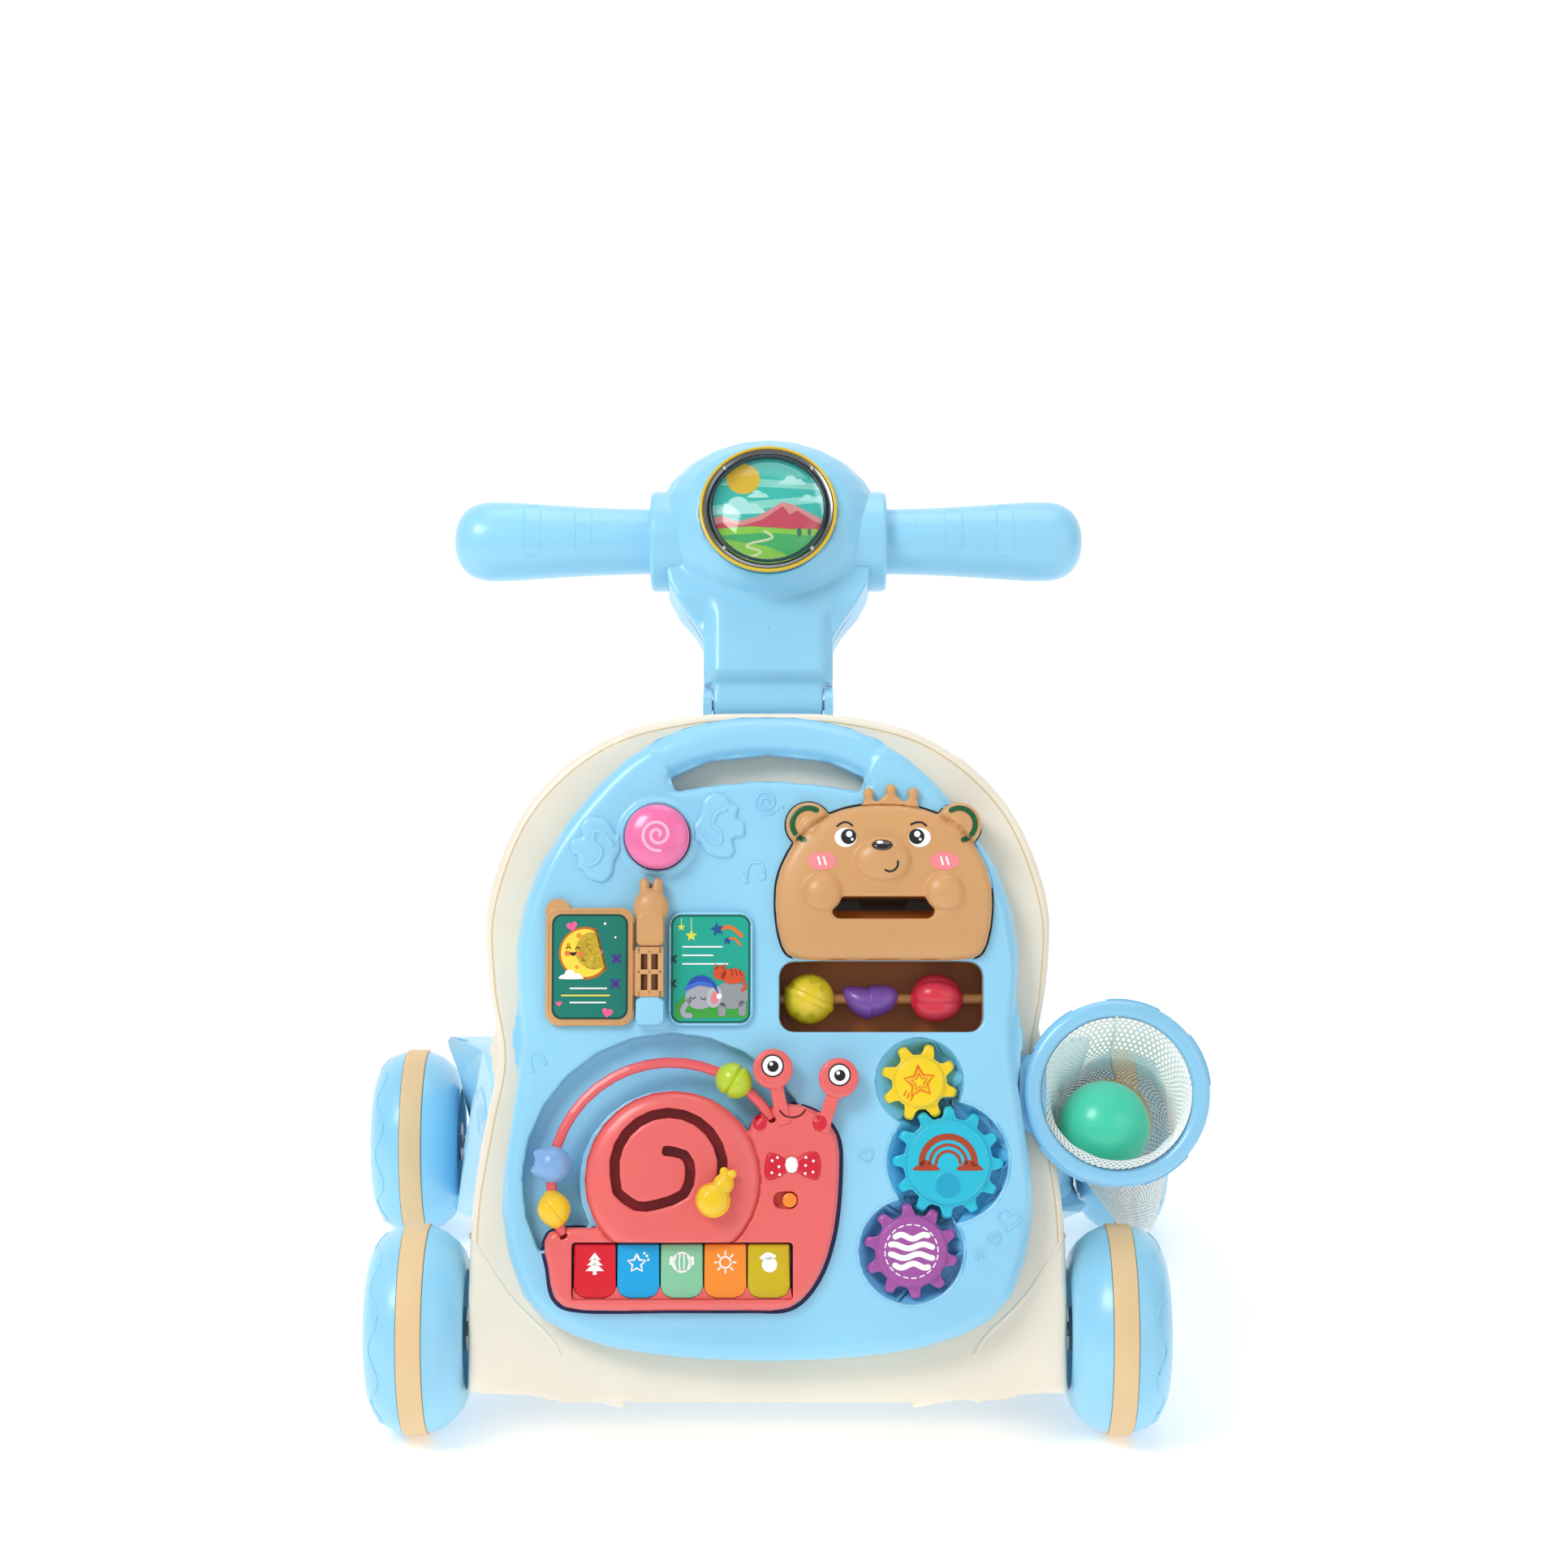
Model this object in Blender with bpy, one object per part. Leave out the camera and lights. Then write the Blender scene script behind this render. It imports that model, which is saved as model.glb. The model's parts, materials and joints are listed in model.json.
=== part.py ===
"""Baby walker with a removable activity board, folding handle, four wheels and a ball net.

World frame: +Z up, origin on the floor midway between the axles, the board faces -Y.
All sizes below are in millimetres and are turned into metres when a mesh is made.
Two empties carry the sloping parts: panel (x across, y up the slope, z out of the face,
origin on the front axle) and handle (y up the neck, origin on the fold pin).
"""
from math import atan2, ceil, cos, degrees, pi, radians, sin

import bmesh
import bpy
from mathutils import Matrix, Vector

for old in list(bpy.data.objects):
    bpy.data.objects.remove(old, do_unlink=True)

MM = 0.001
GAP = 0.3

# ---------------------------------------------------------------- driving sizes
WHEELBASE = 295.0
WHEEL_RADIUS = 57.5
WHEEL_WIDTH = 54.6
FRONT_WHEEL_X = 192.0
REAR_WHEEL_X = 221.0
TYRE_WIDTH = 13.4
TYRE_DEPTH = 3.6
AXLE_RADIUS = 4.0
AXLE_END_FROM_WHEEL_MIDDLE = 17.0
PANEL_LEAN = 20.0

SHELL_FRONT = 33.5
SHELL_BACK = 2.0
SHELL_WALL = 4.0
HOUSING_BACK = -16.0
HOUSING_HALF_HEIGHT = 33.0
SHELL_HALF_WIDTH = 162.0

BOARD_BACK = SHELL_FRONT + GAP
BOARD_FRONT = 56.0
BOARD_FACE_DEPTH = 13.0
WELL_FLOOR = 46.0
TRIM_BACK = BOARD_FRONT + GAP
COVER_BACK = 12.0
COVER_WALL = 3.0

PIVOT_UP_SLOPE = 346.6
PIVOT_BEHIND_AXLE = -18.0
PIN_RADIUS = 3.0
HANDLE_LEAN = 35.0
NECK_HALF_WIDTH = 36.5
TONGUE_HALF_WIDTH = 31.0
KNUCKLE_RADIUS = 9.5
HEAD_UP_NECK = 109.0
HEAD_RADII = (65.5, 52.0, 48.0)
HEAD_WALL = 4.0
LENS_UP_NECK = 103.0
BEZEL_RADIUS = 37.5
LENS_RADIUS = 32.7
LENS_SEAT = 33.0
GRIP_UP_NECK = 102.0
GRIP_END = 179.6

RING_RADIUS = 50.5
RING_LEFT_EDGE = 138.5
RING_CENTRE = (RING_LEFT_EDGE + RING_RADIUS, 128.5)
NET_DRAWN_FOR_RING = 50.5
RING_BAND = 9.5
RING_BACK = 34.4
RING_DEPTH = 12.0
BALL_RADIUS = 25.3

KEY_PITCH = 23.2
KEY_WIDTH = KEY_PITCH - 0.8
KEY_LOW = 19.9
KEY_HIGH = 48.3
FIRST_KEY_LEFT = -103.2
KEY_TRAVEL = 2.8
KEY_BOTTOM = 51.5

BUTTON_CENTRE = (-59.5, 266.2)
BUTTON_RADIUS = 17.4
BUTTON_RING = 20.6

WIRE_CENTRE = (-51.8, 81.1)
WIRE_RADIUS = 63.8
WIRE_THICKNESS = 5.6
WIRE_HEIGHT = 60.0
ARCH_WELL_RADIUS = 79.7
DOME_RADIUS = 47.3
SNAIL_FRONT = 62.5
DOME_FRONT = 65.5
MAZE_CENTRE = (-52.7, 89.0)
MAZE_RADIUS = 29.0
MAZE_SLOT = 5.3
KNOB_TURN = -36.0

SPINE_X = -63.0
SPINE_HEIGHT = 63.0
SPINE_RADIUS = 6.3
PAGE_BACK = TRIM_BACK + 0.4
PAGE_THICKNESS = 3.2

WINDOW = (6.4, 116.2, 161.3, 199.4)
ROD_HEIGHT = 37.0
ROD_UP_SLOPE = 179.7
ROD_RADIUS = 2.7

GEAR_MODULE = 4.6
GEAR_BACK = 47.0
GEAR_FRONT = 57.5
POST_RADIUS = 3.0
TOOTH_WIDTH = 5.4


# ---------------------------------------------------------------- small tools
def plastic(name, colour, roughness=0.35, metallic=0.0):
    """A Principled material of one colour."""
    material = bpy.data.materials.new(name)
    material.use_nodes = True
    shader = material.node_tree.nodes["Principled BSDF"]
    shader.inputs["Base Color"].default_value = (*colour, 1.0)
    shader.inputs["Roughness"].default_value = roughness
    shader.inputs["Metallic"].default_value = metallic
    return material


BLUE = (0.31, 0.68, 0.92)
CREAM = (0.88, 0.80, 0.66)
TAN = (0.68, 0.36, 0.14)
CORAL = (0.86, 0.14, 0.13)
STEEL = (0.62, 0.62, 0.64)


def finish(name, bm, parent, colour, roughness=0.35, metallic=0.0):
    """Turns a bmesh into a named object under its parent empty."""
    bmesh.ops.recalc_face_normals(bm, faces=bm.faces)
    mesh = bpy.data.meshes.new(name)
    bm.to_mesh(mesh)
    bm.free()
    mesh.shade_smooth()
    mesh.set_sharp_from_angle(angle=radians(32))
    piece = bpy.data.objects.new(name, mesh)
    bpy.context.scene.collection.objects.link(piece)
    piece.parent = parent
    if colour:
        mesh.materials.append(plastic(name, colour, roughness, metallic))
    return piece


def along(axis, across, up, out):
    """A point from its two outline coordinates and its place along the extrusion axis."""
    if axis == "x":
        return Vector((out, across, up)) * MM
    if axis == "y":
        return Vector((up, out, across)) * MM
    return Vector((across, up, out)) * MM


def prism(name, outline, low, high, parent, colour=None, edge=0.0, rounds=2, axis="z"):
    """An outline extruded from low to high, with the high rim rounded by edge."""
    bm = bmesh.new()
    bottom = [bm.verts.new(along(axis, p, q, low)) for p, q in outline]
    top = [bm.verts.new(along(axis, p, q, high)) for p, q in outline]
    count = len(outline)
    bm.faces.new(bottom)
    bm.faces.new(top)
    for i in range(count):
        j = (i + 1) % count
        bm.faces.new((bottom[i], bottom[j], top[j], top[i]))
    if edge:
        high_rim = set(top)
        rim = [e for e in bm.edges if e.verts[0] in high_rim and e.verts[1] in high_rim]
        bmesh.ops.bevel(bm, geom=rim, offset=edge * MM, segments=rounds, profile=0.5,
                        affect="EDGES")
    return finish(name, bm, parent, colour)


def turned(name, profile, parent, colour=None, steps=24, axis="z", closed=False, centre=(0, 0, 0)):
    """A profile of (radius, place along the axis) turned round; radius 0 closes an end."""
    bm = bmesh.new()
    shift = Vector(centre) * MM
    rings = []
    for radius, out in profile:
        if radius == 0:
            rings.append([bm.verts.new(along(axis, 0, 0, out) + shift)] * steps)
            continue
        turns = [2 * pi * i / steps for i in range(steps)]
        rings.append([bm.verts.new(along(axis, radius * cos(a), radius * sin(a), out) + shift)
                      for a in turns])
    pairs = list(zip(rings, rings[1:]))
    if closed:
        pairs.append((rings[-1], rings[0]))
    for near, far in pairs:
        for i in range(steps):
            j = (i + 1) % steps
            corners = list(dict.fromkeys((near[i], near[j], far[j], far[i])))
            if len(corners) > 2:
                bm.faces.new(corners)
    return finish(name, bm, parent, colour)


def box(name, x, y, z, parent, colour=None):
    """A plain box from three (low, high) pairs."""
    corners = [(x[0], y[0]), (x[1], y[0]), (x[1], y[1]), (x[0], y[1])]
    return prism(name, corners, z[0], z[1], parent, colour)


def circle(centre, radius, sides=24, start=0.0):
    """Points round a circle."""
    return [(centre[0] + radius * cos(start + 2 * pi * i / sides),
             centre[1] + radius * sin(start + 2 * pi * i / sides)) for i in range(sides)]


def disc(name, centre, radius, low, high, parent, colour=None, sides=24, edge=0.0, axis="z"):
    """A round plate or pin."""
    return prism(name, circle(centre, radius, sides), low, high, parent, colour, edge, axis=axis)


def ball(name, centre, radii, parent, colour=None, sides=16):
    """A sphere or ellipsoid."""
    bm = bmesh.new()
    scale = Matrix.Diagonal((*(r * MM for r in radii), 1.0))
    shift = Matrix.Translation(Vector(centre) * MM)
    bmesh.ops.create_uvsphere(bm, u_segments=sides, v_segments=sides // 2, radius=1.0,
                              matrix=shift @ scale)
    return finish(name, bm, parent, colour)


def rounded_box(x, y, radius, steps=3):
    """A rectangle outline with round corners."""
    corners = [(x[1] - radius, y[1] - radius, 0), (x[0] + radius, y[1] - radius, 90),
               (x[0] + radius, y[0] + radius, 180), (x[1] - radius, y[0] + radius, 270)]
    points = []
    for cx, cy, start in corners:
        for i in range(steps + 1):
            a = radians(start + 90 * i / steps)
            points.append((cx + radius * cos(a), cy + radius * sin(a)))
    return points


def bend(before, start, end, after, t):
    """One coordinate of a curve that runs smoothly through start and end."""
    return 0.5 * (2 * start + (end - before) * t + (2 * before - 5 * start + 4 * end - after) * t ** 2
                  + (3 * start - before - 3 * end + after) * t ** 3)


def smooth(points, steps=2, closed=True):
    """A smooth curve through the points, as a denser list of points."""
    count = len(points)
    result = []
    spans = count if closed else count - 1
    for i in range(spans):
        if closed:
            near = [points[(i + k - 1) % count] for k in range(4)]
        else:
            near = [points[min(max(i + k - 1, 0), count - 1)] for k in range(4)]
        for s in range(steps):
            result.append(tuple(bend(*(p[axis] for p in near), s / steps)
                                for axis in range(len(points[0]))))
    if not closed:
        result.append(points[-1])
    return result


def mirrored(half):
    """A whole outline from its left half; points on the middle line are kept once."""
    right = [(-x, y) for x, y in reversed(half) if abs(x) > 1e-6]
    return list(half) + right


def offset(points, distance):
    """The outline moved outward by distance, or inward where it is negative."""
    count = len(points)
    area = sum(points[i][0] * points[(i + 1) % count][1] - points[(i + 1) % count][0] * points[i][1]
               for i in range(count))
    side = 1 if area > 0 else -1
    moved = []
    for i in range(count):
        before = Vector(points[i - 1])
        here = Vector(points[i])
        after = Vector(points[(i + 1) % count])
        one = (here - before).normalized()
        two = (after - here).normalized()
        normal = Vector((one.y + two.y, -one.x - two.x)).normalized() * side
        reach = 1.0 / max(normal.dot(Vector((one.y, -one.x)) * side), 0.5)
        moved.append(tuple(here + normal * distance * reach))
    return moved


def slot(path, width):
    """The outline of a slot that follows an open path."""
    left = []
    right = []
    for i, point in enumerate(path):
        before = Vector(path[max(i - 1, 0)])
        after = Vector(path[min(i + 1, len(path) - 1)])
        heading = (after - before).normalized()
        side = Vector((-heading.y, heading.x)) * width / 2
        left.append(tuple(Vector(point) + side))
        right.append(tuple(Vector(point) - side))
    return left + right[::-1]


def combine(target, tool, operation="DIFFERENCE"):
    """Cuts the tool from the target, or joins it on, and hides the tool."""
    step = target.modifiers.new(operation.title(), "BOOLEAN")
    step.operation = operation
    step.object = tool
    tool.hide_render = True
    tool.display_type = "WIRE"


def cut(target, *tools):
    for tool in tools:
        combine(target, tool, "DIFFERENCE")


def join(target, *tools):
    for tool in tools:
        combine(target, tool, "UNION")


def empty(name, place, lean):
    """An empty whose y axis leans back by lean degrees and whose z axis faces out."""
    holder = bpy.data.objects.new(name, None)
    bpy.context.scene.collection.objects.link(holder)
    holder.location = Vector(place) * MM
    holder.rotation_euler = (radians(90 - lean), 0, 0)
    return holder


def on_axis(piece, x, y, z):
    """Moves a piece's origin to a point of its parent's frame, leaving its shape in place."""
    move = Vector((x, y, z)) * MM
    piece.data.transform(Matrix.Translation(-move))
    piece.location = move


AXLE_HEIGHT = WHEEL_RADIUS
FRONT_AXLE_Y = -WHEELBASE / 2
REAR_AXLE_Y = WHEELBASE / 2
PANEL = empty("panel_frame", (0, FRONT_AXLE_Y, AXLE_HEIGHT), PANEL_LEAN)


def panel_to_world(across, up, out):
    """A point of the panel frame in world millimetres."""
    lean = radians(PANEL_LEAN)
    return (across, FRONT_AXLE_Y + up * sin(lean) - out * cos(lean),
            AXLE_HEIGHT + up * cos(lean) + out * sin(lean))


HANDLE = empty("handle_frame", panel_to_world(0, PIVOT_UP_SLOPE, PIVOT_BEHIND_AXLE), HANDLE_LEAN)


# ---------------------------------------------------------------- front shell and axle
SHELL_SIDE = smooth([(0, 337), (-45, 335), (-92, 321.7), (-131, 287), (-152.5, 238), (-153, 195),
                     (-147, 150), (-156, 100), (-161, 55), (-SHELL_HALF_WIDTH, 25)], 3, closed=False)
SHELL_BOTTOM = [(-SHELL_HALF_WIDTH, -HOUSING_HALF_HEIGHT), (-112, -HOUSING_HALF_HEIGHT),
                (-78, -HOUSING_HALF_HEIGHT - 8), (-78, -HOUSING_HALF_HEIGHT)]
COVER_HALF = [(0, 283), (-58, 277), (-104, 250), (-125, 208), (-124, 152), (-125, 95), (-121, 45),
              (-90, 12), (-45, 2), (0, 0)]
COVER_OUTLINE = smooth(mirrored(COVER_HALF), 2)


def make_shell():
    """The cream front shell: a tray that is open behind, with the axle housing below."""
    outer = mirrored(SHELL_SIDE + SHELL_BOTTOM)
    shell = prism("front_shell", outer, SHELL_BACK, SHELL_FRONT, PANEL, CREAM, 6.0, 2)
    inside = SHELL_HALF_WIDTH - SHELL_WALL
    low = -HOUSING_HALF_HEIGHT
    housing = box("housing", (-SHELL_HALF_WIDTH + 0.02, SHELL_HALF_WIDTH - 0.02),
                  (low + 0.02, HOUSING_HALF_HEIGHT), (HOUSING_BACK, 20), PANEL)
    inner = mirrored(offset(mirrored(SHELL_SIDE), -SHELL_WALL)[:len(SHELL_SIDE)]
                     + [(-inside, low + SHELL_WALL)])
    hollow = prism("shell_hollow", inner, -60, SHELL_FRONT - SHELL_WALL, PANEL)
    window = prism("shell_window", offset(COVER_OUTLINE, 2 * GAP), -60, 60, PANEL)
    bore = disc("axle_bore", (0, 0), AXLE_RADIUS + GAP, -200, 200, PANEL, axis="x")
    join(shell, housing)
    cut(shell, hollow, window, bore)

    back = offset(mirrored(SHELL_SIDE[:-3]), -SHELL_WALL - 2 * GAP)
    back = [(x, max(y, HOUSING_HALF_HEIGHT + GAP)) for x, y in back]
    prism("shell_back", back, SHELL_BACK + 0.3, SHELL_BACK + 3.3, PANEL, CREAM)
    end = FRONT_WHEEL_X + AXLE_END_FROM_WHEEL_MIDDLE
    disc("front_axle", (0, 0), AXLE_RADIUS, -end, end, PANEL, STEEL, axis="x")


def make_hinge_base():
    """The ribbed column behind the shell, whose two ears hold the folding neck."""
    column_back = PIVOT_BEHIND_AXLE - KNUCKLE_RADIUS
    column_top = PIVOT_UP_SLOPE - KNUCKLE_RADIUS - 7
    base = box("neck_base", (-NECK_HALF_WIDTH, NECK_HALF_WIDTH), (235, column_top),
               (column_back, SHELL_BACK - GAP), PANEL, BLUE)
    pivot = (PIVOT_UP_SLOPE, PIVOT_BEHIND_AXLE)
    arc = [(pivot[0] + KNUCKLE_RADIUS * cos(a), pivot[1] + KNUCKLE_RADIUS * sin(a))
           for a in [radians(-90 + 180 * i / 8) for i in range(9)]]
    ear = arc + [(column_top - 5, pivot[1] + KNUCKLE_RADIUS), (column_top - 5, pivot[1] - KNUCKLE_RADIUS)]
    inner = TONGUE_HALF_WIDTH + 2 * GAP
    for side, low, high in (("left", -NECK_HALF_WIDTH, -inner), ("right", inner, NECK_HALF_WIDTH)):
        join(base, prism("ear_" + side, ear, low, high, PANEL, axis="x"))
    cut(base, disc("ear_bore", pivot, PIN_RADIUS + GAP, -60, 60, PANEL, axis="x"))
    disc("neck_pin", pivot, PIN_RADIUS, -NECK_HALF_WIDTH, NECK_HALF_WIDTH, PANEL, STEEL, 16, axis="x")


# ---------------------------------------------------------------- rear frame
LEG_OUTLINE = smooth([(-90, 185), (-58, 188), (-20, 181), (20, 170), (70, 145), (120, 112),
                      (160, 90), (180, 60), (168, 30), (142, 22), (108, 34), (60, 50), (0, 68),
                      (-60, 84), (-118, 108)], 2)
LEG_THICKNESS = 28.0
LEG_WALL = 9.0
CROSS_LOW = 60.0
CROSS_HIGH = 105.0


def leg_outer_face(y):
    """How far out a rear leg's outer face stands at a place along the walker."""
    places = (-130, -90, -40, 10, 60, 120, 185)
    widths = (150, 154, 164, 186, 192.5, 192, 190)
    for i in range(len(places) - 1):
        if y <= places[i + 1]:
            share = max(0.0, (y - places[i]) / (places[i + 1] - places[i]))
            share = share * share * (3 - 2 * share)
            return widths[i] + (widths[i + 1] - widths[i]) * share
    return widths[-1]


def make_rear_frame():
    """Two swept legs, the beam that joins them behind the shell, and the rear stub axles."""
    for side, sign in (("left", -1), ("right", 1)):
        leg = prism("rear_leg_" + side, LEG_OUTLINE, -LEG_THICKNESS, 0, None, BLUE, 8.0, 2, axis="x")
        pocket = prism("leg_pocket_" + side, offset(LEG_OUTLINE, -LEG_WALL), -LEG_THICKNESS - 20, -LEG_WALL,
                       None, axis="x")
        for piece in (leg, pocket):
            for vertex in piece.data.vertices:
                vertex.co.x += leg_outer_face(vertex.co.y / MM) * MM
            if sign < 0:
                piece.data.transform(Matrix.Scale(-1, 4, Vector((1, 0, 0))))
                piece.data.flip_normals()
            piece.data.update()
        near = leg_outer_face(REAR_AXLE_Y) - LEG_THICKNESS - 2
        far = REAR_WHEEL_X + AXLE_END_FROM_WHEEL_MIDDLE
        low, high = sorted((sign * near, sign * far))
        centre = (REAR_AXLE_Y, AXLE_HEIGHT)
        cut(leg, pocket, disc("leg_bore_" + side, centre, AXLE_RADIUS + GAP, -250, 250, None, axis="x"))
        disc("rear_axle_" + side, centre, AXLE_RADIUS, low, high, None, STEEL, axis="x")
    reach = leg_outer_face(-128) - LEG_THICKNESS - GAP
    box("rear_cross", (-reach, reach), (CROSS_LOW, CROSS_HIGH), (-30, SHELL_BACK - GAP), PANEL, BLUE)


# ---------------------------------------------------------------- wheels
def make_wheels():
    """Four hollow wheels, each with its own soft tyre band."""
    half = WHEEL_WIDTH / 2
    seat = WHEEL_RADIUS - TYRE_DEPTH
    band = TYRE_WIDTH / 2 + GAP
    bore = AXLE_RADIUS + GAP
    blind = AXLE_END_FROM_WHEEL_MIDDLE + 1.5 * GAP
    profile = [(0, blind), (bore, blind), (bore, -half), (12, -half), (12, 14), (33, 14), (33, -half),
               (39, -half), (48.5, -20.5), (56, -band), (seat, -band), (seat, band),
               (56, band), (53, 15), (45.5, 23), (30, half), (0, half)]
    tyre = [(seat + GAP, -TYRE_WIDTH / 2), (WHEEL_RADIUS, -TYRE_WIDTH / 2),
            (WHEEL_RADIUS, TYRE_WIDTH / 2), (seat + GAP, TYRE_WIDTH / 2)]
    for end, x, y in (("front", FRONT_WHEEL_X, FRONT_AXLE_Y), ("rear", REAR_WHEEL_X, REAR_AXLE_Y)):
        for side, sign in (("left", -1), ("right", 1)):
            name = end + "_" + side
            pair = (turned("wheel_" + name, [(r, sign * a) for r, a in profile], None, BLUE, 24, "x"),
                    turned("tyre_" + name, [(r, sign * a) for r, a in tyre], None, TAN, 24, "x", True))
            for piece in pair:
                piece.location = Vector((sign * x, y, AXLE_HEIGHT)) * MM


# ---------------------------------------------------------------- folding handle
NECK_BACK = -18.0
NECK_FRONT = 16.0
CHEEK_START = 11.0
COLLAR_RADIUS = 28.6


def make_handle():
    """Neck, two-part hollow head, lens and the two grips, all in the handle frame."""
    head_place = (0, HEAD_UP_NECK, 0)
    collar_place = (GRIP_UP_NECK, -2.0)
    room = tuple(r + GAP for r in HEAD_RADII)
    thickness = (NECK_BACK, NECK_FRONT)

    column = [(CHEEK_START, NECK_BACK + 4), (CHEEK_START + 4, NECK_BACK), (76, NECK_BACK),
              (76, NECK_FRONT), (CHEEK_START + 4, NECK_FRONT), (CHEEK_START, NECK_FRONT - 4)]
    neck = prism("neck", column, -NECK_HALF_WIDTH, NECK_HALF_WIDTH, HANDLE, BLUE, axis="x")
    arc = [(-KNUCKLE_RADIUS * cos(a), KNUCKLE_RADIUS * sin(a))
           for a in [radians(-90 + 180 * i / 8) for i in range(9)]]
    tongue = [(CHEEK_START + 3, -KNUCKLE_RADIUS)] + arc + [(CHEEK_START + 3, KNUCKLE_RADIUS)]
    join(neck, prism("tongue", tongue, -TONGUE_HALF_WIDTH, TONGUE_HALF_WIDTH, HANDLE, axis="x"))
    flare = mirrored([(0, 30), (-NECK_HALF_WIDTH + 3, 30), (-NECK_HALF_WIDTH, 38), (-42, 48), (-51, 59),
                      (-57, 71), (-58, 84), (0, 84)])
    join(neck, prism("flare", flare, thickness[0] + 0.02, thickness[1] - 0.02, HANDLE))
    cut(neck, ball("head_room", head_place, room, HANDLE, sides=24),
        disc("collar_room", collar_place, COLLAR_RADIUS + GAP, -80, 80, HANDLE, axis="x"),
        disc("tongue_bore", (0, 0), PIN_RADIUS + GAP, -60, 60, HANDLE, axis="x"))

    inner_radii = tuple(r - HEAD_WALL for r in HEAD_RADII)
    hollow = ball("head_hollow", head_place, inner_radii, HANDLE, sides=24)
    for half, low, high in (("front", -90, GAP / 2), ("back", -GAP / 2, 90)):
        shell = ball("head_" + half, head_place, HEAD_RADII, HANDLE, BLUE, 24)
        other_side = box("other_side_" + half, (-90, 90), (20, 190), (low, high), HANDLE)
        cut(shell, other_side, hollow)
        if half == "front":
            cut(shell, disc("lens_seat", (0, LENS_UP_NECK), BEZEL_RADIUS + 2 * GAP, LENS_SEAT, 80, HANDLE,
                            sides=32))

    lens_place = (0, LENS_UP_NECK, 0)
    picture_top = LENS_SEAT + GAP + 1.6
    turned("picture_disc", [(0, LENS_SEAT + GAP), (BEZEL_RADIUS, LENS_SEAT + GAP),
                            (BEZEL_RADIUS, picture_top), (0, picture_top)], HANDLE, (0.1, 0.6, 0.55),
           centre=lens_place)
    low = picture_top + GAP
    turned("lens_bezel", [(LENS_RADIUS + GAP, low), (BEZEL_RADIUS, low), (BEZEL_RADIUS, low + 5),
                          (BEZEL_RADIUS - 1.6, low + 6.6), (LENS_RADIUS + GAP, low + 5)], HANDLE,
           (0.2, 0.24, 0.24), 32, closed=True, centre=lens_place)
    turned("lens_dome", [(0, low), (LENS_RADIUS, low), (LENS_RADIUS, low + 2.2), (27, low + 6),
                         (16, low + 9.4), (0, low + 10.8)], HANDLE, (0.8, 0.9, 0.92), 32,
           centre=lens_place)

    profile = [(0, 40), (COLLAR_RADIUS - 1.5, 40), (COLLAR_RADIUS, 47), (COLLAR_RADIUS, 65),
               (COLLAR_RADIUS - 1.5, 67.2), (18, 68), (19.5, 100), (22.4, 145), (22.6, 160), (20.6, 170),
               (15, 176.3), (8, 178.9), (0, GRIP_END)]
    for side, sign in (("left", -1), ("right", 1)):
        grip = turned("grip_" + side, [(r, sign * x) for r, x in profile], HANDLE, BLUE, axis="x",
                      centre=(0, *collar_place))
        cut(grip, ball("head_room_" + side, head_place, room, HANDLE, sides=24))


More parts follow.
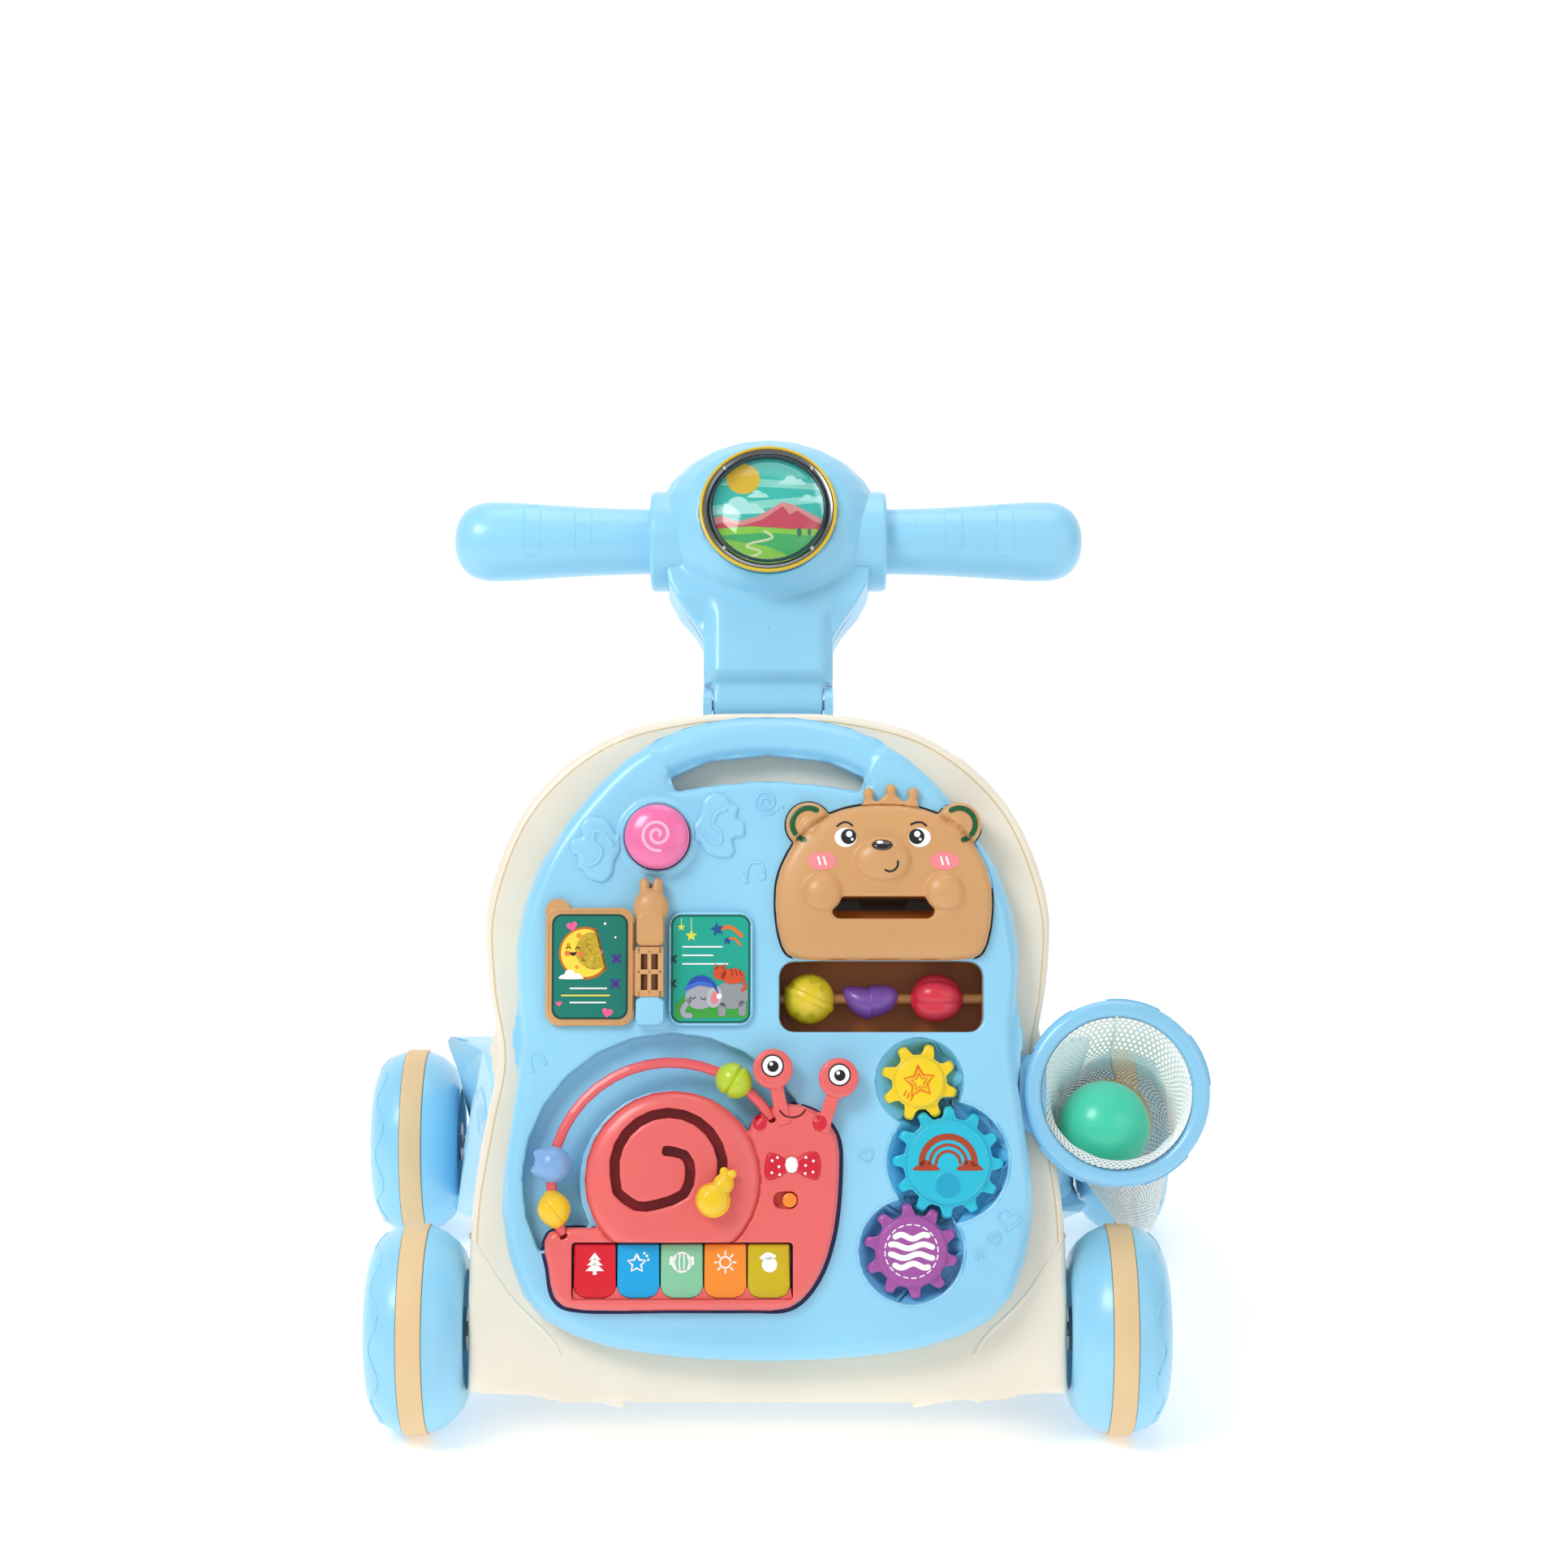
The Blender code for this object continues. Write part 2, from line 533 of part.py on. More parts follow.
# ---------------------------------------------------------------- ball net
def make_basket():
    """The ring on its bracket, the net bag as a thin open shell, and two play balls."""
    ring_place = (*RING_CENTRE, 0)
    inner = RING_RADIUS - RING_BAND
    front = RING_BACK + RING_DEPTH
    ring = turned("basket_ring", [(inner, RING_BACK + 1.5), (inner + 2, RING_BACK),
                                  (RING_RADIUS - 2, RING_BACK), (RING_RADIUS, RING_BACK + 2),
                                  (RING_RADIUS, front - 3), (RING_RADIUS - 3, front), (inner + 3, front),
                                  (inner, front - 2)], PANEL, BLUE, 32, closed=True, centre=ring_place)
    bracket = rounded_box((139, 152), (RING_CENTRE[1] - 20, RING_CENTRE[1] + 20), 4)
    join(ring, prism("ring_bracket", bracket, SHELL_FRONT + GAP, RING_BACK + 5, PANEL))

    spread = RING_RADIUS / NET_DRAWN_FOR_RING
    route = [(1.2, -1, 42), (1, -4.5, 30), (0.8, -12.5, 12), (2.5, -16.5, -12), (6, -19.5, -37),
             (10, -27.5, -56), (16, -46.5, -69), (21, -66.5, -76), (24, -78.5, -79)]
    route = [(RING_CENTRE[0] + x * spread, RING_CENTRE[1] + y, z) for x, y, z in route]
    widths = [width * spread for width in (37.5, 35.5, 34.7, 34.5, 33, 30, 23, 14, 7)]
    wall = 1.2
    sides = 20
    bm = bmesh.new()
    loops = []
    for thickness in (0.0, wall):
        shell = []
        for i, (place, width) in enumerate(zip(route, widths)):
            before = Vector(route[max(i - 1, 0)])
            after = Vector(route[min(i + 1, len(route) - 1)])
            heading = (after - before).normalized()
            across = heading.cross(Vector((0, 1, 0))).normalized()
            up = across.cross(heading)
            middle = Vector(place) - heading * (thickness if i == len(route) - 1 else 0)
            reach = width - thickness
            shell.append([bm.verts.new((middle + across * reach * cos(2 * pi * k / sides)
                                        + up * reach * sin(2 * pi * k / sides)) * MM)
                          for k in range(sides)])
        loops.append(shell)
    for shell in loops:
        for near, far in zip(shell, shell[1:]):
            for k in range(sides):
                j = (k + 1) % sides
                bm.faces.new((near[k], near[j], far[j], far[k]))
        bm.faces.new(shell[-1])
    for k in range(sides):
        j = (k + 1) % sides
        bm.faces.new((loops[0][0][k], loops[0][0][j], loops[1][0][j], loops[1][0][k]))
    finish("basket_net", bm, PANEL, (0.85, 0.9, 0.9), 0.8)

    ball("ball_green", (RING_CENTRE[0] - 4.5, RING_CENTRE[1] - 18, 12), (BALL_RADIUS,) * 3, PANEL, (0.05, 0.65, 0.42))
    ball("ball_tan", (RING_CENTRE[0] + 2.5, RING_CENTRE[1] - 15.5, -38), (BALL_RADIUS - 0.8,) * 3, PANEL, (0.6, 0.45, 0.19))


# ---------------------------------------------------------------- activity board
BOARD_HALF = [(0, 332.7), (-29, 330.5), (-60, 320.5), (-91, 296.5), (-123.5, 252.2), (-136, 206),
              (-132.8, 158), (-138.5, 110), (-143, 66), (-131, 20), (-104, -1), (-60, -11), (0, -14.5)]
FINGER_GAP = [(-53, 299.5), (-33, 308.6), (0, 312.2), (33, 308.6), (53, 299.5), (50, 291.5),
              (33, 294.5), (0, 297.6), (-33, 294.5), (-50, 291.5)]
GEARS = (("cyan", 12, (96.8, 91.6), (0.02, 0.55, 0.72)), ("yellow", 8, (81.6, 134.5), (0.9, 0.65, 0.02)),
         ("purple", 10, (77.0, 44.3), (0.37, 0.1, 0.38)))
CYAN_PHASE = 28.8
KEY_WELL = (FIRST_KEY_LEFT - 1.2, FIRST_KEY_LEFT + 5 * KEY_PITCH + 0.8, KEY_LOW - 1.0, KEY_HIGH + 0.8)
SWITCH_SLOT = (3.3, 16.1, 67.2, 76.0)
SWITCH_RADIUS = 3.9


def gear_tip(teeth):
    """Outer radius of a gear: half a module of pitch radius per tooth, and a short tip."""
    return GEAR_MODULE * teeth / 2 + 2.9


def gear_root(teeth):
    """Radius of a gear's body, which leaves room for the other gear's tips."""
    return GEAR_MODULE * teeth / 2 - 4.2


def make_board():
    """The blue board with its wells, key pocket, button ring and gear posts."""
    board = prism("activity_board", smooth(mirrored(BOARD_HALF), 2), BOARD_BACK, BOARD_FRONT, PANEL, BLUE,
                  6.0, 2)
    face_back = BOARD_FRONT - BOARD_FACE_DEPTH
    pocket = prism("board_pocket", offset(COVER_OUTLINE, 1.5), 0, face_back, PANEL)
    gap = prism("finger_gap", FINGER_GAP, 0, 80, PANEL)
    cut(board, pocket, gap)

    span = [radians(-28 + 236 * i / 16) for i in range(17)]
    outer = [(WIRE_CENTRE[0] + ARCH_WELL_RADIUS * cos(a), WIRE_CENTRE[1] + ARCH_WELL_RADIUS * sin(a))
             for a in span]
    island = DOME_RADIUS + 2.0
    inner = [(WIRE_CENTRE[0] + island * cos(a), WIRE_CENTRE[1] + island * sin(a)) for a in span[::-1]]
    cut(board, prism("arch_well", outer + inner, WELL_FLOOR, 80, PANEL))

    for name, teeth, centre, _ in GEARS:
        cut(board, disc("well_" + name, centre, gear_tip(teeth) + 2.0, WELL_FLOOR, 80, PANEL, sides=28))
    for name, _, centre, _ in GEARS:
        join(board, disc("post_" + name, centre, POST_RADIUS, WELL_FLOOR - 1, GEAR_FRONT - 2, PANEL, sides=12))
    cut(board, box("key_pocket", KEY_WELL[:2], KEY_WELL[2:], (KEY_BOTTOM - KEY_TRAVEL - 0.6, 80), PANEL),
        disc("button_well", BUTTON_CENTRE, BUTTON_RADIUS + GAP, WELL_FLOOR, 80, PANEL),
        prism("window_hole", rounded_box(WINDOW[:2], WINDOW[2:], 7.5), 0, 80, PANEL),
        prism("mouth_well", rounded_box((32, 93), (218, 236), 5), WELL_FLOOR, 80, PANEL))
    inside = BUTTON_RADIUS + GAP + 0.2
    join(board, turned("button_ring", [(inside, BOARD_FRONT - 2), (BUTTON_RING, BOARD_FRONT - 2),
                                       (BUTTON_RING, BOARD_FRONT + 2), (BUTTON_RING - 1, BOARD_FRONT + 3),
                                       (inside, BOARD_FRONT + 3)], PANEL, closed=True,
                       centre=(*BUTTON_CENTRE, 0)))
    knuckle = prism("lower_knuckle", rounded_box((SPINE_X - 7.7, SPINE_X + 7.7), (164.8, 179.0), 1),
                    BOARD_FRONT - 1, SPINE_HEIGHT + 5, PANEL, edge=3.0)
    join(board, knuckle)
    cut(board, disc("knuckle_bore", (SPINE_HEIGHT, SPINE_X), 1.9, 168, 200, PANEL, sides=12, axis="y"))


def make_board_back():
    """The tray that closes the board behind, with what it hides, and the battery lid."""
    front = BOARD_FRONT - BOARD_FACE_DEPTH - GAP
    tray = prism("back_cover", COVER_OUTLINE, COVER_BACK, front, PANEL, CREAM)
    lid = ((-40, 40), (38, 92))
    room = ((-37, 37), (41, 89))
    inner = prism("tray_inside", offset(COVER_OUTLINE, -COVER_WALL), COVER_BACK + COVER_WALL, 60, PANEL)
    cut(tray, inner, box("lid_seat", (lid[0][0] - GAP, lid[0][1] + GAP), (lid[1][0] - GAP, lid[1][1] + GAP),
                         (0, COVER_BACK + 1.6), PANEL),
        box("battery_way", *room, (0, 30), PANEL))
    prism("battery_lid", rounded_box(*lid, 3), COVER_BACK - 0.6, COVER_BACK + 1.3, PANEL, CREAM)
    low_x, high_x, low_y, high_y = WINDOW
    bin_low = ROD_HEIGHT - 15.6
    beads = prism("bead_box", rounded_box((low_x - 3.5, high_x - GAP + 3.5), (low_y - 3.5, high_y + 3.5), 9),
                  bin_low - 2, front, PANEL, (0.13, 0.03, 0.01))
    hollow = rounded_box((low_x, high_x), (low_y, high_y), 7.5)
    cut(beads, prism("bead_room", hollow, bin_low, 60, PANEL),
        disc("rod_bore", (ROD_UP_SLOPE, ROD_HEIGHT), ROD_RADIUS + GAP, 0, 130, PANEL, axis="x"))
    disc("bead_rod", (ROD_UP_SLOPE, ROD_HEIGHT), ROD_RADIUS, low_x - 2.5, high_x + 2.0, PANEL,
         (0.45, 0.2, 0.08), 16, axis="x")


# ---------------------------------------------------------------- things on the board
def make_bear():
    """The bear face plate with ears, crown, muzzle and a mouth slot."""
    half = [(0, 58), (-22, 55.5), (-42, 45), (-55.5, 24), (-58.5, 4), (-55, -18), (-46, -25.5), (-20, -26.3),
            (0, -26.3)]
    outline = [(62.7 + x, 229.5 + y - 3.6) for x, y in smooth(mirrored(half), 2)]
    bear = prism("bear_face", outline, TRIM_BACK, TRIM_BACK + 6.5, PANEL, TAN, 2.5, 2)
    for side, x in (("left", 22.1), ("right", 103.3)):
        join(bear, disc("ear_disc_" + side, (x, 272.9), 12.3, TRIM_BACK + 0.4, TRIM_BACK + 5.3, PANEL, edge=1.5))
    crown = [(53, 268), (51.5, 284), (53.5, 290), (59, 285), (66.7, 291.5), (74, 285), (80, 290), (81.5, 284),
             (79, 268)]
    join(bear, prism("crown", crown, TRIM_BACK + 0.9, TRIM_BACK + 3.7, PANEL),
         ball("muzzle", (62.2, 253.2, TRIM_BACK + 5.6), (15.2, 11.7, 5.3), PANEL, sides=16))
    mouth = rounded_box((34.8, 89.9), (222, 233.9), 4)
    cut(bear, prism("mouth_slot", mouth, 0, 90, PANEL))


def make_snail():
    """The coral snail: body and head plate, shell dome, eyes, maze slot, key and switch windows."""
    body = smooth([(8, 123), (26, 119), (37, 106), (38.5, 86), (35.5, 55), (27, 30), (12, 14.5),
                   (-12, 13.2), (-50, 13.2), (-98, 13.2), (-113, 19), (-117, 36), (-119, 50), (-108, 57),
                   (-60, 57), (-14, 66), (-12, 96), (-8, 114)], 2)
    snail = prism("snail_body", body, TRIM_BACK, SNAIL_FRONT, PANEL, CORAL, 2.0, 2)
    dome_centre = (-50.4, 82.5)
    dome = disc("snail_dome", dome_centre, DOME_RADIUS, TRIM_BACK + 0.01, DOME_FRONT, PANEL, sides=28,
                edge=3.0)
    join(snail, dome)
    for side, centre, foot in (("left", (2.9, 141.4), (9, 112)), ("right", (38.1, 136.6), (29, 108))):
        heading = (Vector(centre) - Vector(foot)).normalized()
        across = Vector((-heading.y, heading.x)) * 3.6
        corners = [tuple(Vector(foot) - across), tuple(Vector(foot) + across),
                   tuple(Vector(centre) + across), tuple(Vector(centre) - across)]
        join(snail, prism("stalk_" + side, corners, TRIM_BACK + 0.6, SNAIL_FRONT + 2.5, PANEL),
             disc("eye_" + side, centre, 10.8, SNAIL_FRONT + 0.6, SNAIL_FRONT + 6, PANEL, edge=1.5))
    arc = [(MAZE_CENTRE[0] + MAZE_RADIUS * cos(a), MAZE_CENTRE[1] + MAZE_RADIUS * sin(a))
           for a in [radians(-42 + 232 * i / 14) for i in range(15)]]
    inward = smooth([(-80, 76), (-70, 68.5), (-58, 69.5), (-44.5, 75), (-41, 86), (-44, 95.5), (-56, 98)],
                    2, closed=False)
    maze = prism("maze_slot", slot(arc + inward, MAZE_SLOT), 0, 90, PANEL)
    floor_room = disc("maze_floor_room", MAZE_CENTRE, MAZE_RADIUS + 6, 0, TRIM_BACK + 2.1, PANEL)
    bead_path = wire_ring("wire_room", WIRE_THICKNESS / 2 + GAP, 30, 208)
    low_x, high_x, low_y, high_y = KEY_WELL
    key_window = box("key_window", (low_x, high_x), (low_y, high_y), (0, 90), PANEL)
    low_x, high_x, low_y, high_y = SWITCH_SLOT
    switch = prism("switch_window", rounded_box((low_x, high_x), (low_y, high_y), 3.6),
                   TRIM_BACK + 1.2, 90, PANEL)
    cut(snail, maze, floor_room, bead_path, key_window, switch)
    disc("maze_floor", MAZE_CENTRE, MAZE_RADIUS + 6 - GAP, TRIM_BACK, TRIM_BACK + 1.8, PANEL, (0.2, 0, 0))
    wire_ring("wire_arch", WIRE_THICKNESS / 2, 32, 206, CORAL)


def wire_ring(name, radius, start, end, colour=None):
    """A round wire bent along the arch circle from one angle to another, in degrees."""
    steps = ceil((end - start) / 9)
    sides = 8
    bm = bmesh.new()
    rings = []
    whole = end - start >= 360
    for i in range(steps if whole else steps + 1):
        turn = radians(start + (end - start) * i / steps)
        ring = []
        for k in range(sides):
            a = 2 * pi * k / sides
            reach = WIRE_RADIUS + radius * cos(a)
            ring.append(bm.verts.new(Vector((WIRE_CENTRE[0] + reach * cos(turn),
                                             WIRE_CENTRE[1] + reach * sin(turn),
                                             WIRE_HEIGHT + radius * sin(a))) * MM))
        rings.append(ring)
    pairs = list(zip(rings, rings[1:]))
    if whole:
        pairs.append((rings[-1], rings[0]))
    else:
        bm.faces.new(rings[0])
        bm.faces.new(rings[-1])
    for near, far in pairs:
        for k in range(sides):
            j = (k + 1) % sides
            bm.faces.new((near[k], near[j], far[j], far[k]))
    return finish(name, bm, PANEL, colour)


def make_arch_beads():
    """Three beads threaded on the wire arch."""
    beads = (("green", 58.0, (9.4, 10.3, 9.4), (0.5, 0.65, 0.03)),
             ("blue", 171.5, (9.8, 10.0, 10.5), (0.22, 0.45, 0.78)),
             ("yellow", 193.0, (8.8, 10.5, 9.0), (0.95, 0.6, 0.01)))
    room = wire_ring("bead_bores", WIRE_THICKNESS / 2 + GAP, 0, 360)
    for name, angle, radii, colour in beads:
        a = radians(angle)
        place = (WIRE_CENTRE[0] + WIRE_RADIUS * cos(a), WIRE_CENTRE[1] + WIRE_RADIUS * sin(a), WIRE_HEIGHT)
        bead = ball("arch_bead_" + name, (0, 0, 0), radii, PANEL, colour, 12)
        bead.data.transform(Matrix.Rotation(a, 4, "Z"))
        bead.location = Vector(place) * MM
        cut(bead, room)


def make_book():
    """The turning page with its barrel, the fixed page, the rabbit cap and the spine pin."""
    page = prism("book_page_turning", rounded_box((-119.4, -71.6), (164.5, 228), 9), PAGE_BACK,
                 PAGE_BACK + PAGE_THICKNESS, PANEL, TAN, 1.0, 1)
    join(page, disc("page_ear", (-112.7, 226), 6.9, PAGE_BACK + 0.02, PAGE_BACK + PAGE_THICKNESS - 0.02, PANEL,
                    sides=16))
    spine = (SPINE_HEIGHT, SPINE_X)
    barrel = disc("page_barrel", spine, SPINE_RADIUS, 179.6, 206.4, PANEL, sides=20, axis="y")
    tab = box("page_tab", (-74, SPINE_X - 3), (181, 205), (PAGE_BACK + 0.03, PAGE_BACK + PAGE_THICKNESS - 0.03),
              PANEL)
    join(page, tab, barrel)
    cut(page, disc("page_bore", spine, 1.9, 170, 220, PANEL, sides=12, axis="y"))
    on_axis(page, SPINE_X, 193, SPINE_HEIGHT)
    prism("book_page_fixed", rounded_box((-53.6, -7.5), (164.3, 226), 8), TRIM_BACK, TRIM_BACK + 2.4, PANEL,
          (0.01, 0.35, 0.3), 0.8, 1)

    rabbit = prism("rabbit_cap", rounded_box((-70.4, -55.2), (207, 228), 3), TRIM_BACK, SPINE_HEIGHT + 5.6,
                   PANEL, TAN, 3.0, 2)
    join(rabbit, disc("rabbit_head", (-62.6, 227), 8.3, TRIM_BACK + 0.1, SPINE_HEIGHT + 4.5, PANEL, edge=3.0))
    for side, x in (("left", -66.2), ("right", -59.0)):
        join(rabbit, prism("rabbit_ear_" + side, rounded_box((x - 2.7, x + 2.7), (230, 243.5), 2.4),
                           TRIM_BACK + 0.3, SPINE_HEIGHT + 1, PANEL))
    cut(rabbit, disc("rabbit_bore", spine, 1.9, 190, 222, PANEL, sides=12, axis="y"))
    disc("spine_pin", spine, 1.6, 169, 221, PANEL, STEEL, 12, axis="y")


def make_buttons():
    """The candy button, the five note keys and the power switch."""
    profile = [(0, WELL_FLOOR + 4), (BUTTON_RADIUS, WELL_FLOOR + 4), (BUTTON_RADIUS, 59.5), (15, 61.8),
               (9, 64), (0, 65)]
    turned("candy_button", profile, PANEL, (0.88, 0.16, 0.45), 32, centre=(*BUTTON_CENTRE, 0))
    keys = (("red", (0.7, 0.01, 0.03)), ("blue", (0.0, 0.4, 0.8)), ("green", (0.26, 0.62, 0.38)),
            ("orange", (1.0, 0.3, 0.03)), ("olive", (0.62, 0.45, 0.0)))
    for number, (name, colour) in enumerate(keys):
        left = FIRST_KEY_LEFT + number * KEY_PITCH
        outline = rounded_box((left, left + KEY_WIDTH), (KEY_LOW, KEY_HIGH), 3)
        prism("key_" + name, outline, KEY_BOTTOM, SNAIL_FRONT - 1.6, PANEL, colour, 1.2, 2)
    centre = (SWITCH_SLOT[1] - SWITCH_RADIUS - GAP, (SWITCH_SLOT[2] + SWITCH_SLOT[3]) / 2)
    disc("power_switch", centre, SWITCH_RADIUS, TRIM_BACK + 1.6, SNAIL_FRONT + 2.6, PANEL, (0.95, 0.45, 0.01), 16, 1.0)
    turn = radians(KNOB_TURN)
    x = MAZE_CENTRE[0] + MAZE_RADIUS * cos(turn)
    y = MAZE_CENTRE[1] + MAZE_RADIUS * sin(turn)
    knob = turned("maze_knob", [(0, TRIM_BACK + 2.2), (2.2, TRIM_BACK + 2.2), (2.2, DOME_FRONT + 0.8),
                                (6.5, DOME_FRONT + 1.2), (9.2, DOME_FRONT + 6), (8, DOME_FRONT + 11),
                                (4.5, DOME_FRONT + 13.6), (0, DOME_FRONT + 14.4)], PANEL,
                  (0.95, 0.6, 0.01), 20, centre=(x, y, 0))
    join(knob, ball("knob_head", (x + 5.5, y + 7.6, DOME_FRONT + 6.5), (5.6, 5.6, 5), PANEL, sides=12))
    on_axis(knob, *MAZE_CENTRE, DOME_FRONT)


def make_window_beads():
    """The bell, the bean and the star fruit that spin on the rod behind the window."""
    place = (ROD_UP_SLOPE, ROD_HEIGHT)
    rod_y, rod_z = place
    shapes = (("bell", 22.4, (15.0, 14.6, 14.6), (0.75, 0.55, 0.02)),
              ("bean", 56.0, (17.4, 13.0, 12.0), (0.17, 0.06, 0.38)),
              ("star", 92.0, (16.2, 12.6, 12.6), (0.7, 0.02, 0.05)))
    for name, x, radii, colour in shapes:
        bead = ball("bead_" + name, (0, 0, 0), radii, PANEL, colour, 14)
        bead.location = Vector((x, rod_y, rod_z)) * MM
        bore = disc("bore_" + name, (0, 0), ROD_RADIUS + GAP, -30, 30, PANEL, sides=12, axis="x")
        bore.location = bead.location
        cut(bead, bore)


def gear_outline(teeth, phase):
    """Round finger teeth on a round body."""
    root = gear_root(teeth)
    tip = gear_tip(teeth)
    points = []
    for i in range(teeth):
        middle = radians(phase) + 2 * pi * i / teeth
        half = TOOTH_WIDTH / 2
        base = middle - half * 1.15 / root, middle + half * 1.15 / root
        points.append((root * cos(base[0]), root * sin(base[0])))
        for out, side in ((tip - 1.7, -half), (tip - 0.3, -half * 0.55), (tip - 0.3, half * 0.55),
                          (tip - 1.7, half)):
            points.append((out * cos(middle) - side * sin(middle), out * sin(middle) + side * cos(middle)))
        points.append((root * cos(base[1]), root * sin(base[1])))
    return points


def meshed_phase(teeth, centre, lead_teeth, lead_centre, lead_phase):
    """The phase that puts a tooth of this gear in a gap of the leading gear."""
    line = Vector(centre) - Vector(lead_centre)
    heading = degrees(atan2(line.y, line.x))
    step = 360.0 / lead_teeth
    gap = lead_phase + step / 2 - heading
    gap -= step * round(gap / step)
    return heading + 180.0 - gap * lead_teeth / teeth


def make_gears():
    """Three meshing gears; the cyan one drives the other two."""
    lead = GEARS[0]
    for name, teeth, centre, colour in GEARS:
        phase = CYAN_PHASE
        if name != lead[0]:
            phase = meshed_phase(teeth, centre, lead[1], lead[2], CYAN_PHASE)
        gear = prism("gear_" + name, gear_outline(teeth, phase), GEAR_BACK, GEAR_FRONT, PANEL, colour, 1.2, 1)
        gear.location = Vector((*centre, 0)) * MM
        bore = disc("bore_gear_" + name, centre, POST_RADIUS + GAP, 0, GEAR_FRONT - 1.6, PANEL, sides=12)
        cut(gear, bore)


make_shell()
make_hinge_base()
make_rear_frame()
make_wheels()
make_handle()
make_basket()
make_board()
make_board_back()
make_bear()
make_snail()
make_arch_beads()
make_book()
make_buttons()
make_window_beads()
make_gears()
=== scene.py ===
import json
from math import atan2, cos, hypot, pi, radians, sin, sqrt

import bmesh
import bpy
import numpy as np
from mathutils import Matrix, Vector
from mathutils.bvhtree import BVHTree


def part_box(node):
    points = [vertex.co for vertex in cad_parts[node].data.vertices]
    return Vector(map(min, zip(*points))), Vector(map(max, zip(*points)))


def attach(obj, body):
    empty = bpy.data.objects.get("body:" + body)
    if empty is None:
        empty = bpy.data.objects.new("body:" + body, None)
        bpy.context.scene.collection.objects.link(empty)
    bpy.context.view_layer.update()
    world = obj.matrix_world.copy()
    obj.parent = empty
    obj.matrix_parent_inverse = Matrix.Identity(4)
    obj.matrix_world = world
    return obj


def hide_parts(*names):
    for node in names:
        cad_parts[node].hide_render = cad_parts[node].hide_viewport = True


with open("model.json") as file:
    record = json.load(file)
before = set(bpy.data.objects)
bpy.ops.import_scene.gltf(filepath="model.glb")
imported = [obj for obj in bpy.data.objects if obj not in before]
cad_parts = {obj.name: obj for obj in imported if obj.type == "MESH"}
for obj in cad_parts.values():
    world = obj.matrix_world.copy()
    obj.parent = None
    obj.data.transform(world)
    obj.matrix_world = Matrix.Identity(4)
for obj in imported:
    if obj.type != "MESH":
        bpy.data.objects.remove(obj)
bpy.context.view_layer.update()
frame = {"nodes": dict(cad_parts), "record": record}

# Baby walker looks. Shapes are written in millimetres in one of three local frames and turned
# into metres of the row frame: PANEL (x across, y up the board, z out of it, origin on the front
# axle), HANDLE (y up the neck, z out of the lens, origin on the fold pin) and WORLD.
MM = 0.001
JOINTS = {joint["name"]: joint for joint in frame["record"]["behaviour"]["joints"]}
BODY_OF = {node: body for body, nodes in frame["record"]["behaviour"]["bodies"].items() for node in nodes}
ACROSS = Vector((1, 0, 0))
OUT = Vector(JOINTS["board_release"]["axis"]).normalized()
UP = OUT.cross(ACROSS)
AXLE = Vector(JOINTS["wheel_front_left_spin"]["pos_m"])
AXLE.x = 0.0
PIVOT = Vector(JOINTS["handle_fold"]["pos_m"])
HANDLE_LEAN = 35.0
WORLD = Matrix.Identity(4)
PANEL = Matrix.Translation(AXLE) @ Matrix((ACROSS, UP, OUT)).transposed().to_4x4()
HANDLE = Matrix.Translation(PIVOT) @ Matrix.Rotation(radians(90 - HANDLE_LEAN), 4, "X")


# ---------------------------------------------------------------- materials
def linear(colour):
    """Display colour, 0 to 255, to the linear values that shaders take."""
    values = [c / 255 for c in colour]
    return tuple(v / 12.92 if v <= 0.04045 else ((v + 0.055) / 1.055) ** 2.4 for v in values)


MADE = {}


